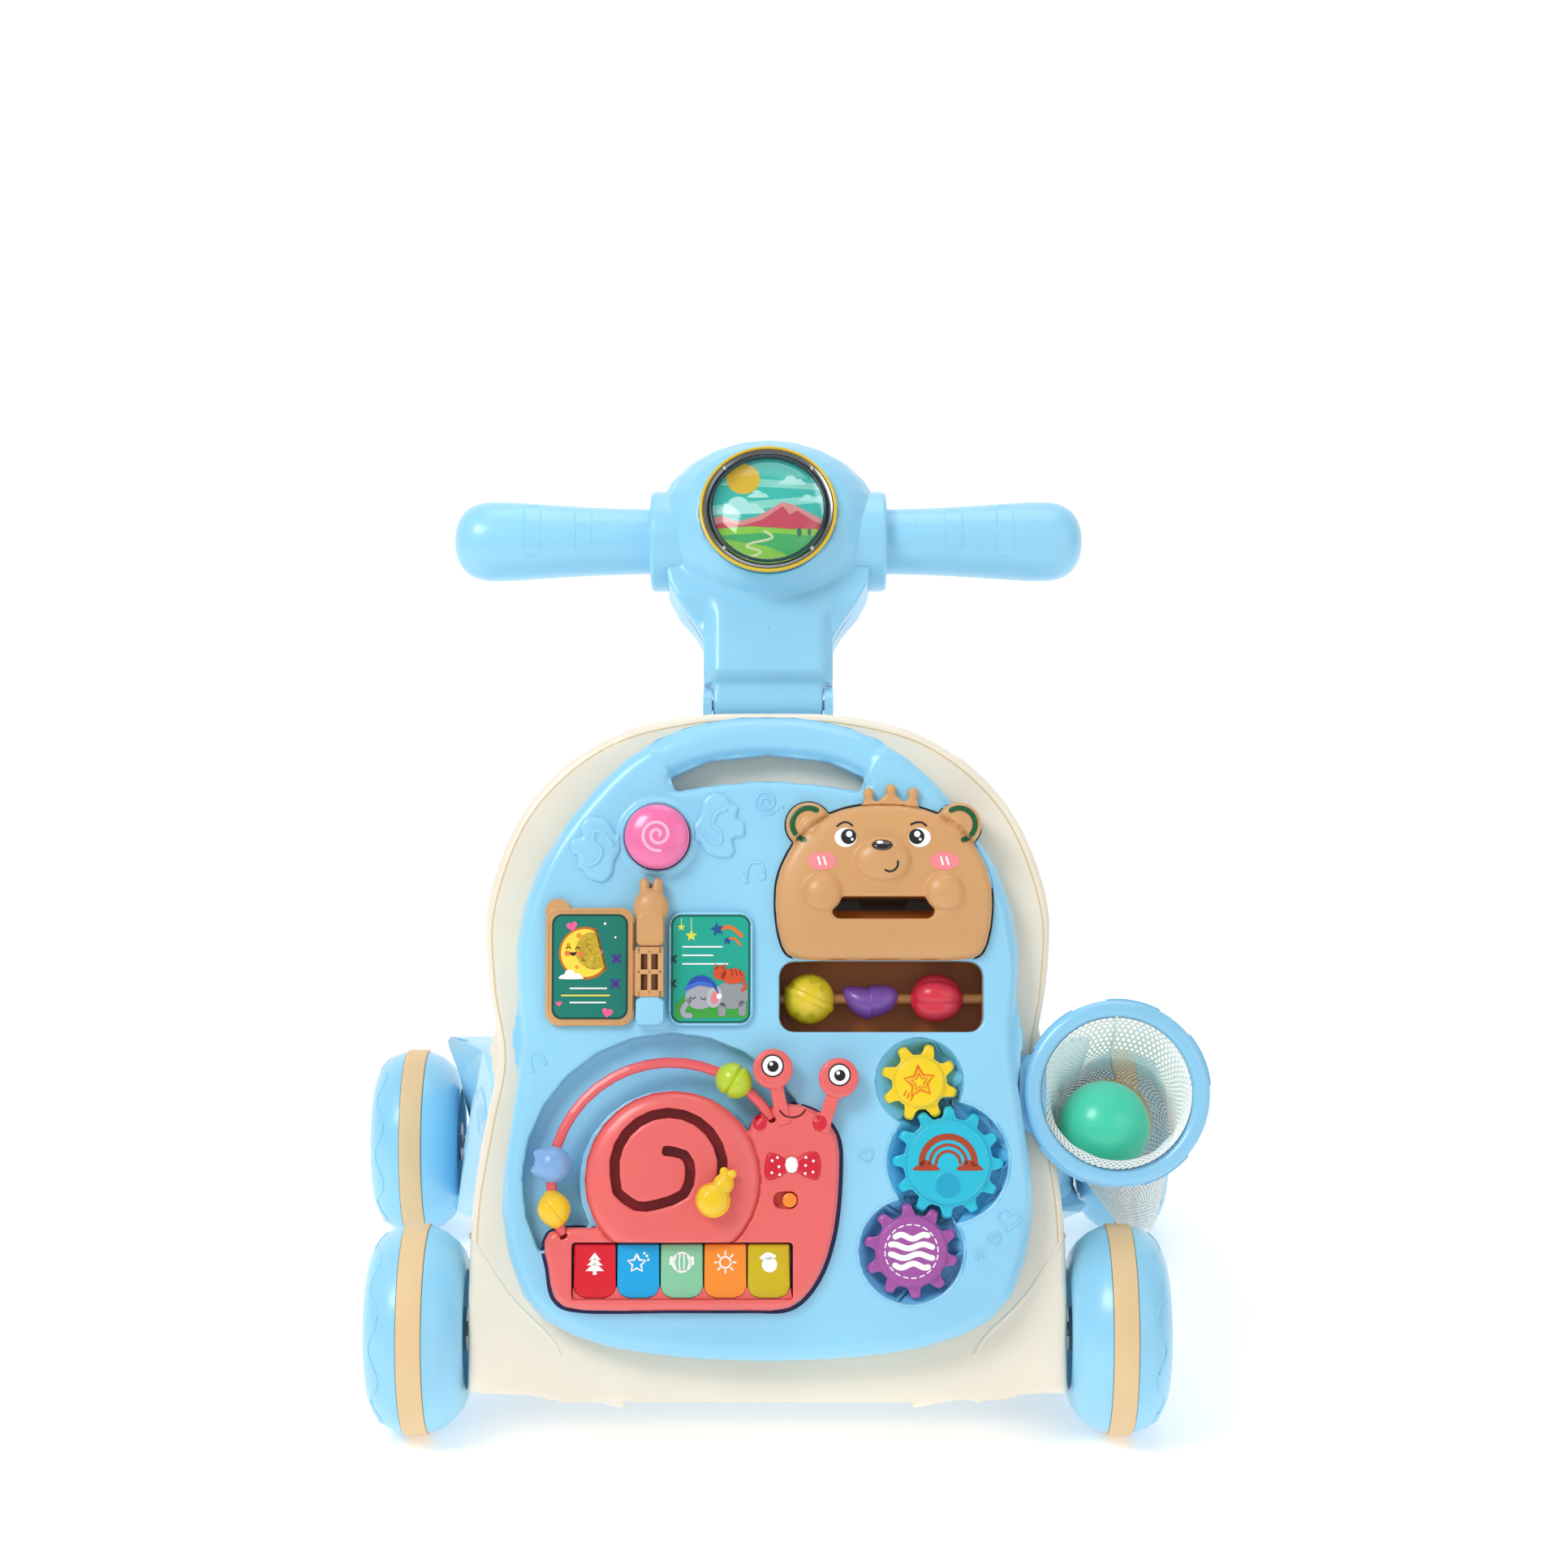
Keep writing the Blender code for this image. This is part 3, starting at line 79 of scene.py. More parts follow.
def moulded(name, colour, rough=0.32, coat=0.25, grain=0.02, size=900.0, subsurface=0.06, shift=0.05):
    """Moulded plastic: fine skin grain, uneven gloss and a little flow colouring."""
    if name in MADE:
        return MADE[name]
    material = bpy.data.materials.new(name)
    material.use_nodes = True
    nodes = material.node_tree.nodes
    links = material.node_tree.links
    shader = nodes["Principled BSDF"]
    shader.inputs["Coat Weight"].default_value = coat
    shader.inputs["Coat Roughness"].default_value = 0.12
    shader.inputs["Subsurface Weight"].default_value = subsurface
    shader.inputs["Subsurface Radius"].default_value = (0.004, 0.003, 0.002)
    shader.inputs["Subsurface Scale"].default_value = 0.5
    place = nodes.new("ShaderNodeTexCoord")
    flow = nodes.new("ShaderNodeTexNoise")
    flow.inputs["Scale"].default_value = 14.0
    flow.inputs["Detail"].default_value = 3.0
    links.new(place.outputs["Object"], flow.inputs["Vector"])
    tint = nodes.new("ShaderNodeValToRGB")
    base = linear(colour)
    tint.color_ramp.elements[0].position = 0.3
    tint.color_ramp.elements[1].position = 0.7
    tint.color_ramp.elements[0].color = (*(max(0.0, c * (1 - shift)) for c in base), 1)
    tint.color_ramp.elements[1].color = (*(min(1.0, c * (1 + shift)) for c in base), 1)
    links.new(flow.outputs["Fac"], tint.inputs["Fac"])
    links.new(tint.outputs["Color"], shader.inputs["Base Color"])
    fine = nodes.new("ShaderNodeTexNoise")
    fine.inputs["Scale"].default_value = size
    fine.inputs["Detail"].default_value = 2.0
    links.new(place.outputs["Object"], fine.inputs["Vector"])
    gloss = nodes.new("ShaderNodeMapRange")
    gloss.inputs["To Min"].default_value = rough - 0.05
    gloss.inputs["To Max"].default_value = rough + 0.07
    links.new(fine.outputs["Fac"], gloss.inputs["Value"])
    links.new(gloss.outputs["Result"], shader.inputs["Roughness"])
    bump = nodes.new("ShaderNodeBump")
    bump.inputs["Strength"].default_value = grain * 4
    bump.inputs["Distance"].default_value = 0.0002
    links.new(fine.outputs["Fac"], bump.inputs["Height"])
    links.new(bump.outputs["Normal"], shader.inputs["Normal"])
    MADE[name] = material
    return material


def printed(name, colour):
    """Ink or a label film: thin, even and a little glossier than the plastic."""
    return moulded("print_" + name, colour, 0.38, 0.1, 0.01, 1500.0, 0.0, 0.03)


def steel():
    """Drawn steel rod with a fine grain."""
    if "steel" in MADE:
        return MADE["steel"]
    material = moulded("steel", (190, 192, 196), 0.3, 0.0, 0.03, 600.0, 0.0, 0.05)
    material.node_tree.nodes["Principled BSDF"].inputs["Metallic"].default_value = 1.0
    return material


def glow(material, colour, strength):
    """Painted light: makes a colour that sits under the clear lens glow by emission, as little light reaches
    it there.
    """
    shader = material.node_tree.nodes["Principled BSDF"]
    shader.inputs["Emission Color"].default_value = (*linear(colour), 1)
    shader.inputs["Emission Strength"].default_value = strength
    return material


def clear():
    """Clear polycarbonate for the lens."""
    material = moulded("clear_lens", (235, 250, 250), 0.06, 0.5, 0.0, 400.0, 0.0, 0.01)
    shader = material.node_tree.nodes["Principled BSDF"]
    shader.inputs["Transmission Weight"].default_value = 1.0
    shader.inputs["IOR"].default_value = 1.3
    return material


BLUE = moulded("light_blue", (148, 214, 246), 0.33, 0.25, 0.02)
BLUE_DEEP = moulded("ring_blue", (140, 205, 240), 0.28, 0.35, 0.015)
CREAM = moulded("cream", (243, 234, 216), 0.36, 0.2, 0.02)
TYRE = moulded("tyre_tan", (232, 200, 152), 0.55, 0.0, 0.05, 700.0)
TAN = moulded("bear_tan", (212, 160, 104), 0.4, 0.15, 0.02)
CORAL = moulded("coral", (236, 106, 104), 0.34, 0.25, 0.02)
NET = moulded("net_thread", (240, 244, 242), 0.8, 0.0, 0.1, 1200.0, 0.1, 0.03)
BROWN = moulded("brown", (186, 112, 46), 0.4, 0.15, 0.02)
YELLOW = moulded("yellow", (248, 206, 24), 0.3, 0.35, 0.015)


COLOURS = {"ball_green": (66, 212, 176), "ball_tan": (208, 184, 124), "bead_rod": (176, 120, 62),
        "rabbit_cap": (148, 206, 236), "maze_floor": (140, 4, 22), "wire_arch": (232, 92, 96),
        "picture_disc": (60, 190, 190), "lens_bezel": (150, 156, 160), "candy_button": (246, 128, 178),
        "power_switch": (246, 140, 40), "bead_bell": (236, 206, 40), "bead_bean": (124, 78, 168),
        "bead_star": (226, 48, 70), "arch_bead_green": (186, 212, 44), "arch_bead_blue": (130, 176, 228),
        "arch_bead_yellow": (250, 204, 24), "gear_cyan": (34, 192, 220), "gear_yellow": (246, 212, 24),
        "gear_purple": (166, 84, 164), "key_red": (222, 16, 44), "key_blue": (10, 168, 230),
        "key_green": (136, 206, 164), "key_orange": (252, 146, 44), "key_olive": (206, 182, 8),}


# ---------------------------------------------------------------- mesh tools
def piece_from(name, bm, matrix, body, material, smooth_angle=40.0):
    """A bmesh in local millimetres becomes a shown piece in the row frame that rides on a body."""
    bmesh.ops.recalc_face_normals(bm, faces=bm.faces)
    bmesh.ops.transform(bm, matrix=matrix @ Matrix.Scale(MM, 4), verts=bm.verts)
    mesh = bpy.data.meshes.new(name)
    bm.to_mesh(mesh)
    bm.free()
    mesh.shade_smooth()
    mesh.set_sharp_from_angle(angle=radians(smooth_angle))
    piece = bpy.data.objects.new(name, mesh)
    bpy.context.scene.collection.objects.link(piece)
    if material:
        mesh.materials.append(material)
    if body:
        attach(piece, body)
    return piece


def along(axis, across, up, out):
    """Places a point of a flat outline when its extrusion runs along the named axis."""
    if axis == "x":
        return (out, across, up)
    if axis == "y":
        return (up, out, across)
    return (across, up, out)


def add_prism(bm, outline, low, high, edge=0.0, rounds=3, axis="z"):
    """Adds an extruded outline whose high rim is rounded by edge."""
    bottom = [bm.verts.new(along(axis, p, q, low)) for p, q in outline]
    top = [bm.verts.new(along(axis, p, q, high)) for p, q in outline]
    count = len(outline)
    bm.faces.new(bottom)
    bm.faces.new(top)
    for i in range(count):
        j = (i + 1) % count
        bm.faces.new((bottom[i], bottom[j], top[j], top[i]))
    if edge:
        high_rim = set(top)
        rim = [e for e in bm.edges if e.verts[0] in high_rim and e.verts[1] in high_rim]
        bmesh.ops.bevel(bm, geom=rim, offset=edge, segments=rounds, profile=0.5, affect="EDGES")


def turned(name, profile, matrix, body, material, steps=96, axis="z", closed=False, centre=(0, 0, 0)):
    """A profile of (radius, place along the axis) turned round."""
    bm = bmesh.new()
    shift = Vector(centre)
    rings = []
    for radius, out in profile:
        if radius == 0:
            rings.append([bm.verts.new(Vector(along(axis, 0, 0, out)) + shift)] * steps)
            continue
        turns = [2 * pi * i / steps for i in range(steps)]
        rings.append([bm.verts.new(Vector(along(axis, radius * cos(a), radius * sin(a), out))
                + shift) for a in turns])
    pairs = list(zip(rings, rings[1:]))
    if closed:
        pairs.append((rings[-1], rings[0]))
    for near, far in pairs:
        for i in range(steps):
            j = (i + 1) % steps
            corners = list(dict.fromkeys((near[i], near[j], far[j], far[i])))
            if len(corners) > 2:
                bm.faces.new(corners)
    return piece_from(name, bm, matrix, body, material)


def circle(centre, radius, sides=48, start=0.0):
    """Points of a circle."""
    return [(centre[0] + radius * cos(start + 2 * pi * i / sides), centre[1] + radius * sin(start
            + 2 * pi * i / sides)) for i in range(sides)]


def oval(centre, rx, ry, turn=0.0, sides=40):
    """Points of an oval."""
    points = []
    for i in range(sides):
        a = 2 * pi * i / sides
        x = rx * cos(a)
        y = ry * sin(a)
        points.append((centre[0] + x * cos(turn) - y * sin(turn), centre[1] + x * sin(turn)
                + y * cos(turn)))
    return points


def rounded_box(x, y, radius, steps=6):
    """A rectangle with round corners."""
    corners = [(x[1] - radius, y[1] - radius, 0), (x[0] + radius, y[1] - radius, 90), (x[0] + radius,
            y[0] + radius, 180), (x[1] - radius, y[0] + radius, 270)]
    points = []
    for cx, cy, start in corners:
        for i in range(steps + 1):
            a = radians(start + 90 * i / steps)
            points.append((cx + radius * cos(a), cy + radius * sin(a)))
    return points


def bend(before, start, end, after, t):
    return 0.5 * (2 * start + (end - before) * t + (2 * before - 5 * start + 4 * end - after) * t ** 2
            + (3 * start - before - 3 * end + after) * t ** 3)


def smooth(points, steps=6, closed=True):
    """A smooth curve through the points, as a denser list of points."""
    count = len(points)
    result = []
    spans = count if closed else count - 1
    for i in range(spans):
        if closed:
            near = [points[(i + k - 1) % count] for k in range(4)]
        else:
            near = [points[min(max(i + k - 1, 0), count - 1)] for k in range(4)]
        for s in range(steps):
            result.append(tuple(bend(*(p[axis] for p in near),
                    s / steps) for axis in range(len(points[0]))))
    if not closed:
        result.append(points[-1])
    return result


def mirrored(half):
    """Half an outline joined to its mirror image."""
    right = [(-x, y) for x, y in reversed(half) if abs(x) > 1e-6]
    return list(half) + right


def stroke(path, width):
    """The outline of a line of some width with round ends, drawn along a path."""
    left = []
    right = []
    count = len(path)
    for i, point in enumerate(path):
        before = Vector(path[max(i - 1, 0)])
        after = Vector(path[min(i + 1, count - 1)])
        heading = (after - before).normalized()
        side = Vector((-heading.y, heading.x)) * width / 2
        left.append(tuple(Vector(point) + side))
        right.append(tuple(Vector(point) - side))
    ends = []
    for point, towards in ((path[-1], path[-2]), (path[0], path[1])):
        heading = atan2(point[1] - towards[1], point[0] - towards[0])
        ends.append([(point[0] + width / 2 * cos(heading + a), point[1] + width / 2 * sin(heading
                + a)) for a in (pi / 4, 0, -pi / 4)])
    return left + ends[0] + right[::-1] + ends[1]


def arc(centre, radius, start, end, steps=16):
    """Points along an arc, angles in degrees."""
    return [(centre[0] + radius * cos(radians(start + (end - start) * i / steps)), centre[1]
            + radius * sin(radians(start + (end - start) * i / steps))) for i in range(steps + 1)]


def star(centre, outer, inner, points=5, turn=90.0):
    """A star outline."""
    result = []
    for i in range(points * 2):
        radius = outer if i % 2 == 0 else inner
        a = radians(turn + 180 * i / points)
        result.append((centre[0] + radius * cos(a), centre[1] + radius * sin(a)))
    return result


def heart(centre, size, turn=0.0):
    """A heart outline."""
    points = []
    for i in range(28):
        t = 2 * pi * i / 28
        x = size * sin(t) ** 3
        y = size * (13 * cos(t) - 5 * cos(2 * t) - 2 * cos(3 * t) - cos(4 * t)) / 16
        points.append((centre[0] + x * cos(turn) - y * sin(turn), centre[1] + x * sin(turn)
                + y * cos(turn)))
    return points


def tube(name, path, radius, matrix, body, material, sides=14, closed=False):
    """A round tube along a path of 3-D points, with round caps."""
    bm = bmesh.new()
    count = len(path)
    rings = []
    for i, point in enumerate(path):
        before = Vector(path[(i - 1) % count] if closed else path[max(i - 1, 0)])
        after = Vector(path[(i + 1) % count] if closed else path[min(i + 1, count - 1)])
        heading = (after - before).normalized()
        helper = Vector((0, 0, 1)) if abs(heading.z) < 0.9 else Vector((1, 0, 0))
        side = heading.cross(helper).normalized()
        up = side.cross(heading)
        width = radius(i / max(count - 1, 1)) if callable(radius) else radius
        rings.append([bm.verts.new(Vector(point) + side * width * cos(2 * pi * k / sides)
                + up * width * sin(2 * pi * k / sides)) for k in range(sides)])
    pairs = list(zip(rings, rings[1:]))
    if closed:
        pairs.append((rings[-1], rings[0]))
    else:
        bm.faces.new(rings[0])
        bm.faces.new(rings[-1])
    for near, far in pairs:
        for k in range(sides):
            j = (k + 1) % sides
            bm.faces.new((near[k], near[j], far[j], far[k]))
    return piece_from(name, bm, matrix, body, material, 60)


def blob(name, centre, radii, matrix, body, material, shape=None, sides=48):
    """A sphere pulled to radii and then, if given, moved point by point by shape."""
    bm = bmesh.new()
    bmesh.ops.create_uvsphere(bm, u_segments=sides, v_segments=sides // 2, radius=1.0)
    for vertex in bm.verts:
        place = Vector((vertex.co.x * radii[0], vertex.co.y * radii[1], vertex.co.z * radii[2]))
        if shape:
            place = shape(place, vertex.co.copy())
        vertex.co = place + Vector(centre)
    return piece_from(name, bm, matrix, body, material, 60)


def stands_for(piece, *nodes):
    """Makes a piece take the place of CAD nodes by hiding them."""
    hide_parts(*nodes)


def paint(node, material):
    """Gives a CAD node its one material."""
    mesh = frame["nodes"][node].data
    mesh.materials.clear()
    mesh.materials.append(material)


# ---------------------------------------------------------------- skins and what lies on them
SKINS = {}


def to_outline(points, outline, closed=True):
    """Distance of each (x, y) point to the nearest edge of an outline."""
    path = np.array(outline, float)
    starts = path if closed else path[:-1]
    ends = np.roll(path, -1, axis=0) if closed else path[1:]
    nearest = np.full(len(points), 1e9)
    for start, end in zip(starts, ends):
        run = end - start
        share = np.clip(((points - start) @ run) / max(float(run @ run), 1e-9), 0, 1)
        nearest = np.minimum(nearest, np.hypot(*(points - start - share[:, None] * run).T))
    return nearest


def inside(points, outline):
    """Which (x, y) points are inside an outline."""
    within = np.zeros(len(points), bool)
    path = np.array(outline, float)
    for start, end in zip(path, np.roll(path, -1, axis=0)):
        rises = (start[1] > points[:, 1]) != (end[1] > points[:, 1])
        drop = end[1] - start[1] if abs(end[1] - start[1]) > 1e-9 else 1e-9
        within ^= rises & (points[:, 0] < start[0] + (points[:, 1] - start[1]) * (end[0] - start[0]) / drop)
    return within


def depth_in(points, outline):
    """Distance in from an outline's edge, and zero outside it."""
    return to_outline(points, outline) * inside(points, outline)


def rounded(distance, radius):
    """How far a rounded edge lies below the face at some distance from the edge."""
    share = 1 - np.clip(distance / radius, 0, 1)
    return radius * (1 - np.sqrt(np.clip(1 - share ** 2, 0, 1)))


def evaluated(mesh, *steps):
    """The mesh after modifiers given as (kind, {setting: value})."""
    holder = bpy.data.objects.new("holder", mesh)
    bpy.context.scene.collection.objects.link(holder)
    for kind, settings in steps:
        step = holder.modifiers.new(kind, kind)
        for setting, value in settings.items():
            setattr(step, setting, value)
    bpy.context.view_layer.update()
    result = bpy.data.meshes.new_from_object(holder.evaluated_get(bpy.context.evaluated_depsgraph_get()))
    bpy.data.objects.remove(holder, do_unlink=True)
    bpy.data.meshes.remove(mesh)
    return result


def local_mesh(nodes, matrix, adds=()):
    """The CAD nodes' solids in a local frame's millimetres, with more closed shapes beside them."""
    bm = bmesh.new()
    for node in nodes:
        bm.from_mesh(frame["nodes"][node].data)
    bmesh.ops.transform(bm, matrix=(matrix @ Matrix.Scale(MM, 4)).inverted(), verts=bm.verts)
    bmesh.ops.remove_doubles(bm, verts=bm.verts, dist=0.001)
    for add in adds:
        add(bm)
    mesh = bpy.data.meshes.new("solid")
    bm.to_mesh(mesh)
    bm.free()
    return mesh


def resurface(name, nodes, material, matrix=PANEL, voxel=1.2, adds=(), shape=None, relax=3, factor=0.5):
    """One moulded skin over CAD nodes: an even mesh, moved point by point by shape, its edges relaxed."""
    mesh = local_mesh(nodes, matrix, adds)
    mesh = evaluated(mesh, ("REMESH", {"mode": "VOXEL", "voxel_size": voxel}))
    if shape:
        points = np.empty(len(mesh.vertices) * 3)
        mesh.vertices.foreach_get("co", points)
        points = shape(points.reshape(-1, 3))
        mesh.vertices.foreach_set("co", points.ravel())
        mesh.update()
    if relax:
        mesh = evaluated(mesh, ("SMOOTH", {"factor": factor, "iterations": relax}))
    SKINS[name] = BVHTree.FromPolygons([v.co.copy() for v in mesh.vertices],
            [tuple(p.vertices) for p in mesh.polygons])
    mesh.transform(matrix @ Matrix.Scale(MM, 4))
    mesh.materials.clear()
    mesh.materials.append(material)
    mesh.shade_smooth()
    piece = bpy.data.objects.new(name, mesh)
    bpy.context.scene.collection.objects.link(piece)
    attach(piece, BODY_OF[nodes[0]])
    stands_for(piece, *nodes)
    return piece


def skin_of(name, matrix):
    """The surface that prints are laid on: a skin made here, or a CAD node in this local frame."""
    if name not in SKINS:
        mesh = local_mesh([name], matrix)
        SKINS[name] = BVHTree.FromPolygons([v.co.copy() for v in mesh.vertices],
                [tuple(p.vertices) for p in mesh.polygons])
        bpy.data.meshes.remove(mesh)
    return SKINS[name]


def laid(name, outlines, skin, body, material, lift=0.15, swell=0.0, edge=1.5, step=2.0, matrix=PANEL,
         top=100.0):
    """Prints and reliefs: flat shapes laid on a skin, which may swell up from their outline."""
    bm = bmesh.new()
    for outline in outlines:
        bm.faces.new([bm.verts.new((p, q, 0)) for p, q in outline])
    bmesh.ops.triangulate(bm, faces=bm.faces[:])
    for _ in range(6):
        long_edges = [e for e in bm.edges if e.calc_length() > step]
        if not long_edges:
            break
        bmesh.ops.subdivide_edges(bm, edges=long_edges, cuts=1)
        bmesh.ops.triangulate(bm, faces=bm.faces[:])
    heights = np.zeros(len(bm.verts))
    if swell:
        places = np.array([vertex.co[:2] for vertex in bm.verts])
        distance = np.full(len(places), 1e9)
        for outline in outlines:
            distance = np.minimum(distance, to_outline(places, outline))
        heights = swell - rounded(distance, edge) * swell / edge
    last = 0.0
    surface = skin_of(skin, matrix)
    for vertex, height in zip(bm.verts, heights):
        hit = surface.ray_cast(Vector((vertex.co.x, vertex.co.y, top)), Vector((0, 0, -1)))
        last = hit[0].z if hit[0] else last
        vertex.co.z = last + lift + height
    for face in bm.faces:
        face.normal_update()
        if face.normal.z < 0:
            face.normal_flip()
    bmesh.ops.transform(bm, matrix=matrix @ Matrix.Scale(MM, 4), verts=bm.verts)
    mesh = bpy.data.meshes.new(name)
    bm.to_mesh(mesh)
    bm.free()
    mesh.materials.append(material)
    mesh.shade_smooth()
    piece = bpy.data.objects.new(name, mesh)
    bpy.context.scene.collection.objects.link(piece)
    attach(piece, body)
    return piece


def relief(name, outlines, skin, body, material, height=0.9, edge=1.2, step=1.0, matrix=PANEL):
    """Raised moulding in the same plastic as the skin below it."""
    return laid(name, outlines, skin, body, material, -0.05, height, edge, step, matrix)


def sticker(skin, body):
    """Returns laid() with its skin and body filled in."""
    def lay(name, outlines, material, *rest, **named):
        return laid(name, outlines, skin, body, material, *rest, **named)
    return lay


on_bear = sticker("bear_skin", "board")
on_snail = sticker("snail_skin", "board")


# ---------------------------------------------------------------- board
BOARD_OUTLINE = smooth(mirrored([(0, 332.7), (-29, 330.5), (-60, 320.5), (-91, 296.5), (-123.5, 252.2),
        (-136, 206), (-132.8, 158), (-138.5, 110), (-143, 66), (-131, 20), (-104, -1), (-60, -11),
        (0, -14.5)]), 8)
FINGER_GAP = smooth([(-53, 299.5), (-33, 308.6), (0, 312.2), (33, 308.6), (53, 299.5), (50, 291.5),
        (33, 294.5), (0, 297.6), (-33, 294.5), (-50, 291.5)], 6)
BUTTON_CENTRE = (-59.5, 266.2)
WING = [(-21, 0), (-27, 9), (-37, 11.5), (-42, 7.5), (-41, 1), (-47, -1), (-47, -8), (-43, -11),
        (-44, -16.5), (-40, -18.5), (-37, -22.5), (-30, -24.5), (-24.5, -20.5), (-22.5, -12), (-20, -7)]
WING_RIDGE = [(-24, -4), (-29, 2), (-34, 3), (-34, -3), (-30, -7), (-32, -13), (-37, -15)]


def shape_board(points):
    """Rounds the board's rim and finger gap and turns the bar above the gap into a tube."""
    flat = points[:, :2]
    rim = depth_in(flat, BOARD_OUTLINE)
    gap = to_outline(flat, FINGER_GAP)
    front = np.clip((points[:, 2] - 45) / 9, 0, 1)
    slant = np.abs(flat[:, 0]) - 49 - (flat[:, 1] - 295) * 0.7
    on_bar = np.clip(-slant / 1.5, 0, 1) * (flat[:, 1] > 297)
    drop = rounded(rim, 9.0) * (1 - on_bar) + on_bar * (rounded(np.minimum(rim, gap), 10.2) + 1.5)
    drop = np.maximum(drop, rounded(gap, 4.5) * (1 - on_bar))
    points[:, 2] -= drop * front
    back = np.clip((48 - points[:, 2]) / 4, 0, 1) * on_bar
    points[:, 2] += back * rounded(np.minimum(rim, gap), 6.0) * 0.6
    return points


def moved(points, centre, turn=0.0, scale=1.0):
    """Turns, scales and shifts an outline."""
    return [(centre[0] + scale * (x * cos(turn) - y * sin(turn)), centre[1] + scale * (x * sin(turn)
            + y * cos(turn))) for x, y in points]


def spiral(centre, outer, inner, turns, start=0.0, steps=60):
    """Points along a spiral."""
    return [(centre[0] + (outer + (inner - outer) * i / steps) * cos(start + 2 * pi * turns * i / steps),
            centre[1] + (outer + (inner - outer) * i / steps) * sin(start
            + 2 * pi * turns * i / steps)) for i in range(steps + 1)]


def music_note(centre, scale=1.0, turn=0.0):
    """Two note heads, their stems and the beam between them."""
    shapes = [circle((-4.9, -4.6), 2.5, 20), circle((4.7, -2.9), 2.4, 20),
            stroke([(-3.9, -4), (-3.3, 1.5), (-2.2, 3.6), (0, 4.6), (3, 4.4), (5, 3), (5.8, 0.4),
            (5.9, -2)], 1.7)]
    return [moved(shape, centre, turn, scale) for shape in shapes]


def make_board():
    """The blue activity board, its wells and its raised decoration."""
    resurface("board_skin", ["activity_board"], BLUE, voxel=1.3, shape=shape_board, relax=3)
    for turn in (0.0, pi):
        wing = smooth(moved(WING, BUTTON_CENTRE, turn), 4)
        relief("candy_wing_%d" % (turn > 0), [wing], "board_skin", "board", BLUE, 2.4, 3.2, 1.3)
        ridge = smooth(moved(WING_RIDGE, BUTTON_CENTRE, turn), 5, False)
        laid("candy_fold_%d" % (turn > 0), [stroke(ridge, 2.6)], "board_skin", "board", BLUE, 2.2, 1.2,
             1.3, 1.0)
        knot = moved([(-20.5, -2.5), (-24.5, -3), (-25, 0.5), (-20.5, 2.5)], BUTTON_CENTRE, turn)
        relief("candy_knot_%d" % (turn > 0), [smooth(knot, 4)], "board_skin", "board", BLUE, 2.2, 1.8, 0.9)
    curl = spiral((-0.7, 285.6), 7.0, 1.2, -1.9, radians(-60))
    dots = [circle((2.8 + 2.6 * i, 279.8 + 1.5 * i), 0.9, 14) for i in range(3)]
    relief("curl_relief", [stroke(curl, 1.6)] + dots, "board_skin", "board", BLUE, 1.0, 0.9, 0.8)
    relief("note_relief", music_note((-7.6, 248.2)), "board_skin", "board", BLUE, 1.0, 0.9, 0.8)
    relief("small_note_relief", music_note((-124.5, 146.0), 0.8, 0.3), "board_skin", "board", BLUE, 0.9,
           0.8, 0.8)
    hearts = [stroke(heart((53.2, 95), 3.9, 0.3) + [heart((53.2, 95), 3.9, 0.3)[0]], 1.2),
            stroke(heart((129, 61), 6.0, -0.2) + [heart((129, 61), 6.0, -0.2)[0]], 1.4),
            stroke(heart((121.5, 50.7), 3.6, 0.4) + [heart((121.5, 50.7), 3.6, 0.4)[0]], 1.2)]
    relief("heart_relief", hearts, "board_skin", "board", BLUE, 0.9, 0.7, 0.7)
    petals = [stroke([(113.4 + 0.8 * cos(radians(60 * i)), 42.6 + 0.8 * sin(radians(60 * i))),
            (113.4 + 3.6 * cos(radians(60 * i)), 42.6 + 3.6 * sin(radians(60 * i)))],
            1.3) for i in range(6)]
    relief("flower_relief", petals, "board_skin", "board", BLUE, 0.8, 0.7, 0.7)
    for side in (-1, 1):
        dimple = circle((74 * side, 290.5), 1.7, 20)
        relief("ejector_mark_%d" % (side > 0), [stroke(dimple + dimple[:1], 0.8)], "board_skin", "board",
               BLUE, 0.35, 0.4, 0.6)


# ---------------------------------------------------------------- shell
def shape_shell(points):
    """Draws the shell's outer rim round and keeps its wide face flat."""
    rim = depth_in(points[:, :2], SHELL_OUTLINE)
    front = np.clip((points[:, 2] - 20) / 10, 0, 1)
    high = np.clip((points[:, 1] + 5) / 15, 0, 1)
    points[:, 2] -= rounded(rim, 5.0) * front * high
    return points


SHELL_OUTLINE = smooth(mirrored([(0, 337), (-43, 335.7), (-92, 321.7), (-132.4, 285.7), (-153, 234),
        (-152.7, 190), (-146.6, 150), (-153, 113), (-160.4, 69), (-161.7, 30), (-162, -31), (-80, -33),
        (0, -33)]), 8)


def make_shell():
    """The cream shell behind the board."""
    resurface("shell_skin", ["front_shell"], CREAM, voxel=1.5, shape=shape_shell, relax=3)
    inner = [(x * 0.973, 2 + (y - 2) * 0.985) for x, y in SHELL_OUTLINE if y > 45]
    turn = next(i for i, point in enumerate(inner) if point[0] > 100 and point[1] < 60)
    inner = inner[turn:] + inner[:turn]
    laid("shell_rim_line", [stroke(inner, 0.9)], "shell_skin", "frame", moulded("cream_line",
            (226, 200, 158), 0.4), 0.02, 0.25, 0.45, 2.0)
    for side in (-1, 1):
        crease = [(161 * side, 52), (140 * side, 20), (118 * side, -2), (112 * side, -12)]
        relief("shell_crease_%d" % (side > 0), [stroke(smooth(crease, 6, False), 2.4)], "shell_skin",
               "frame", CREAM, 0.7, 1.2, 1.2)


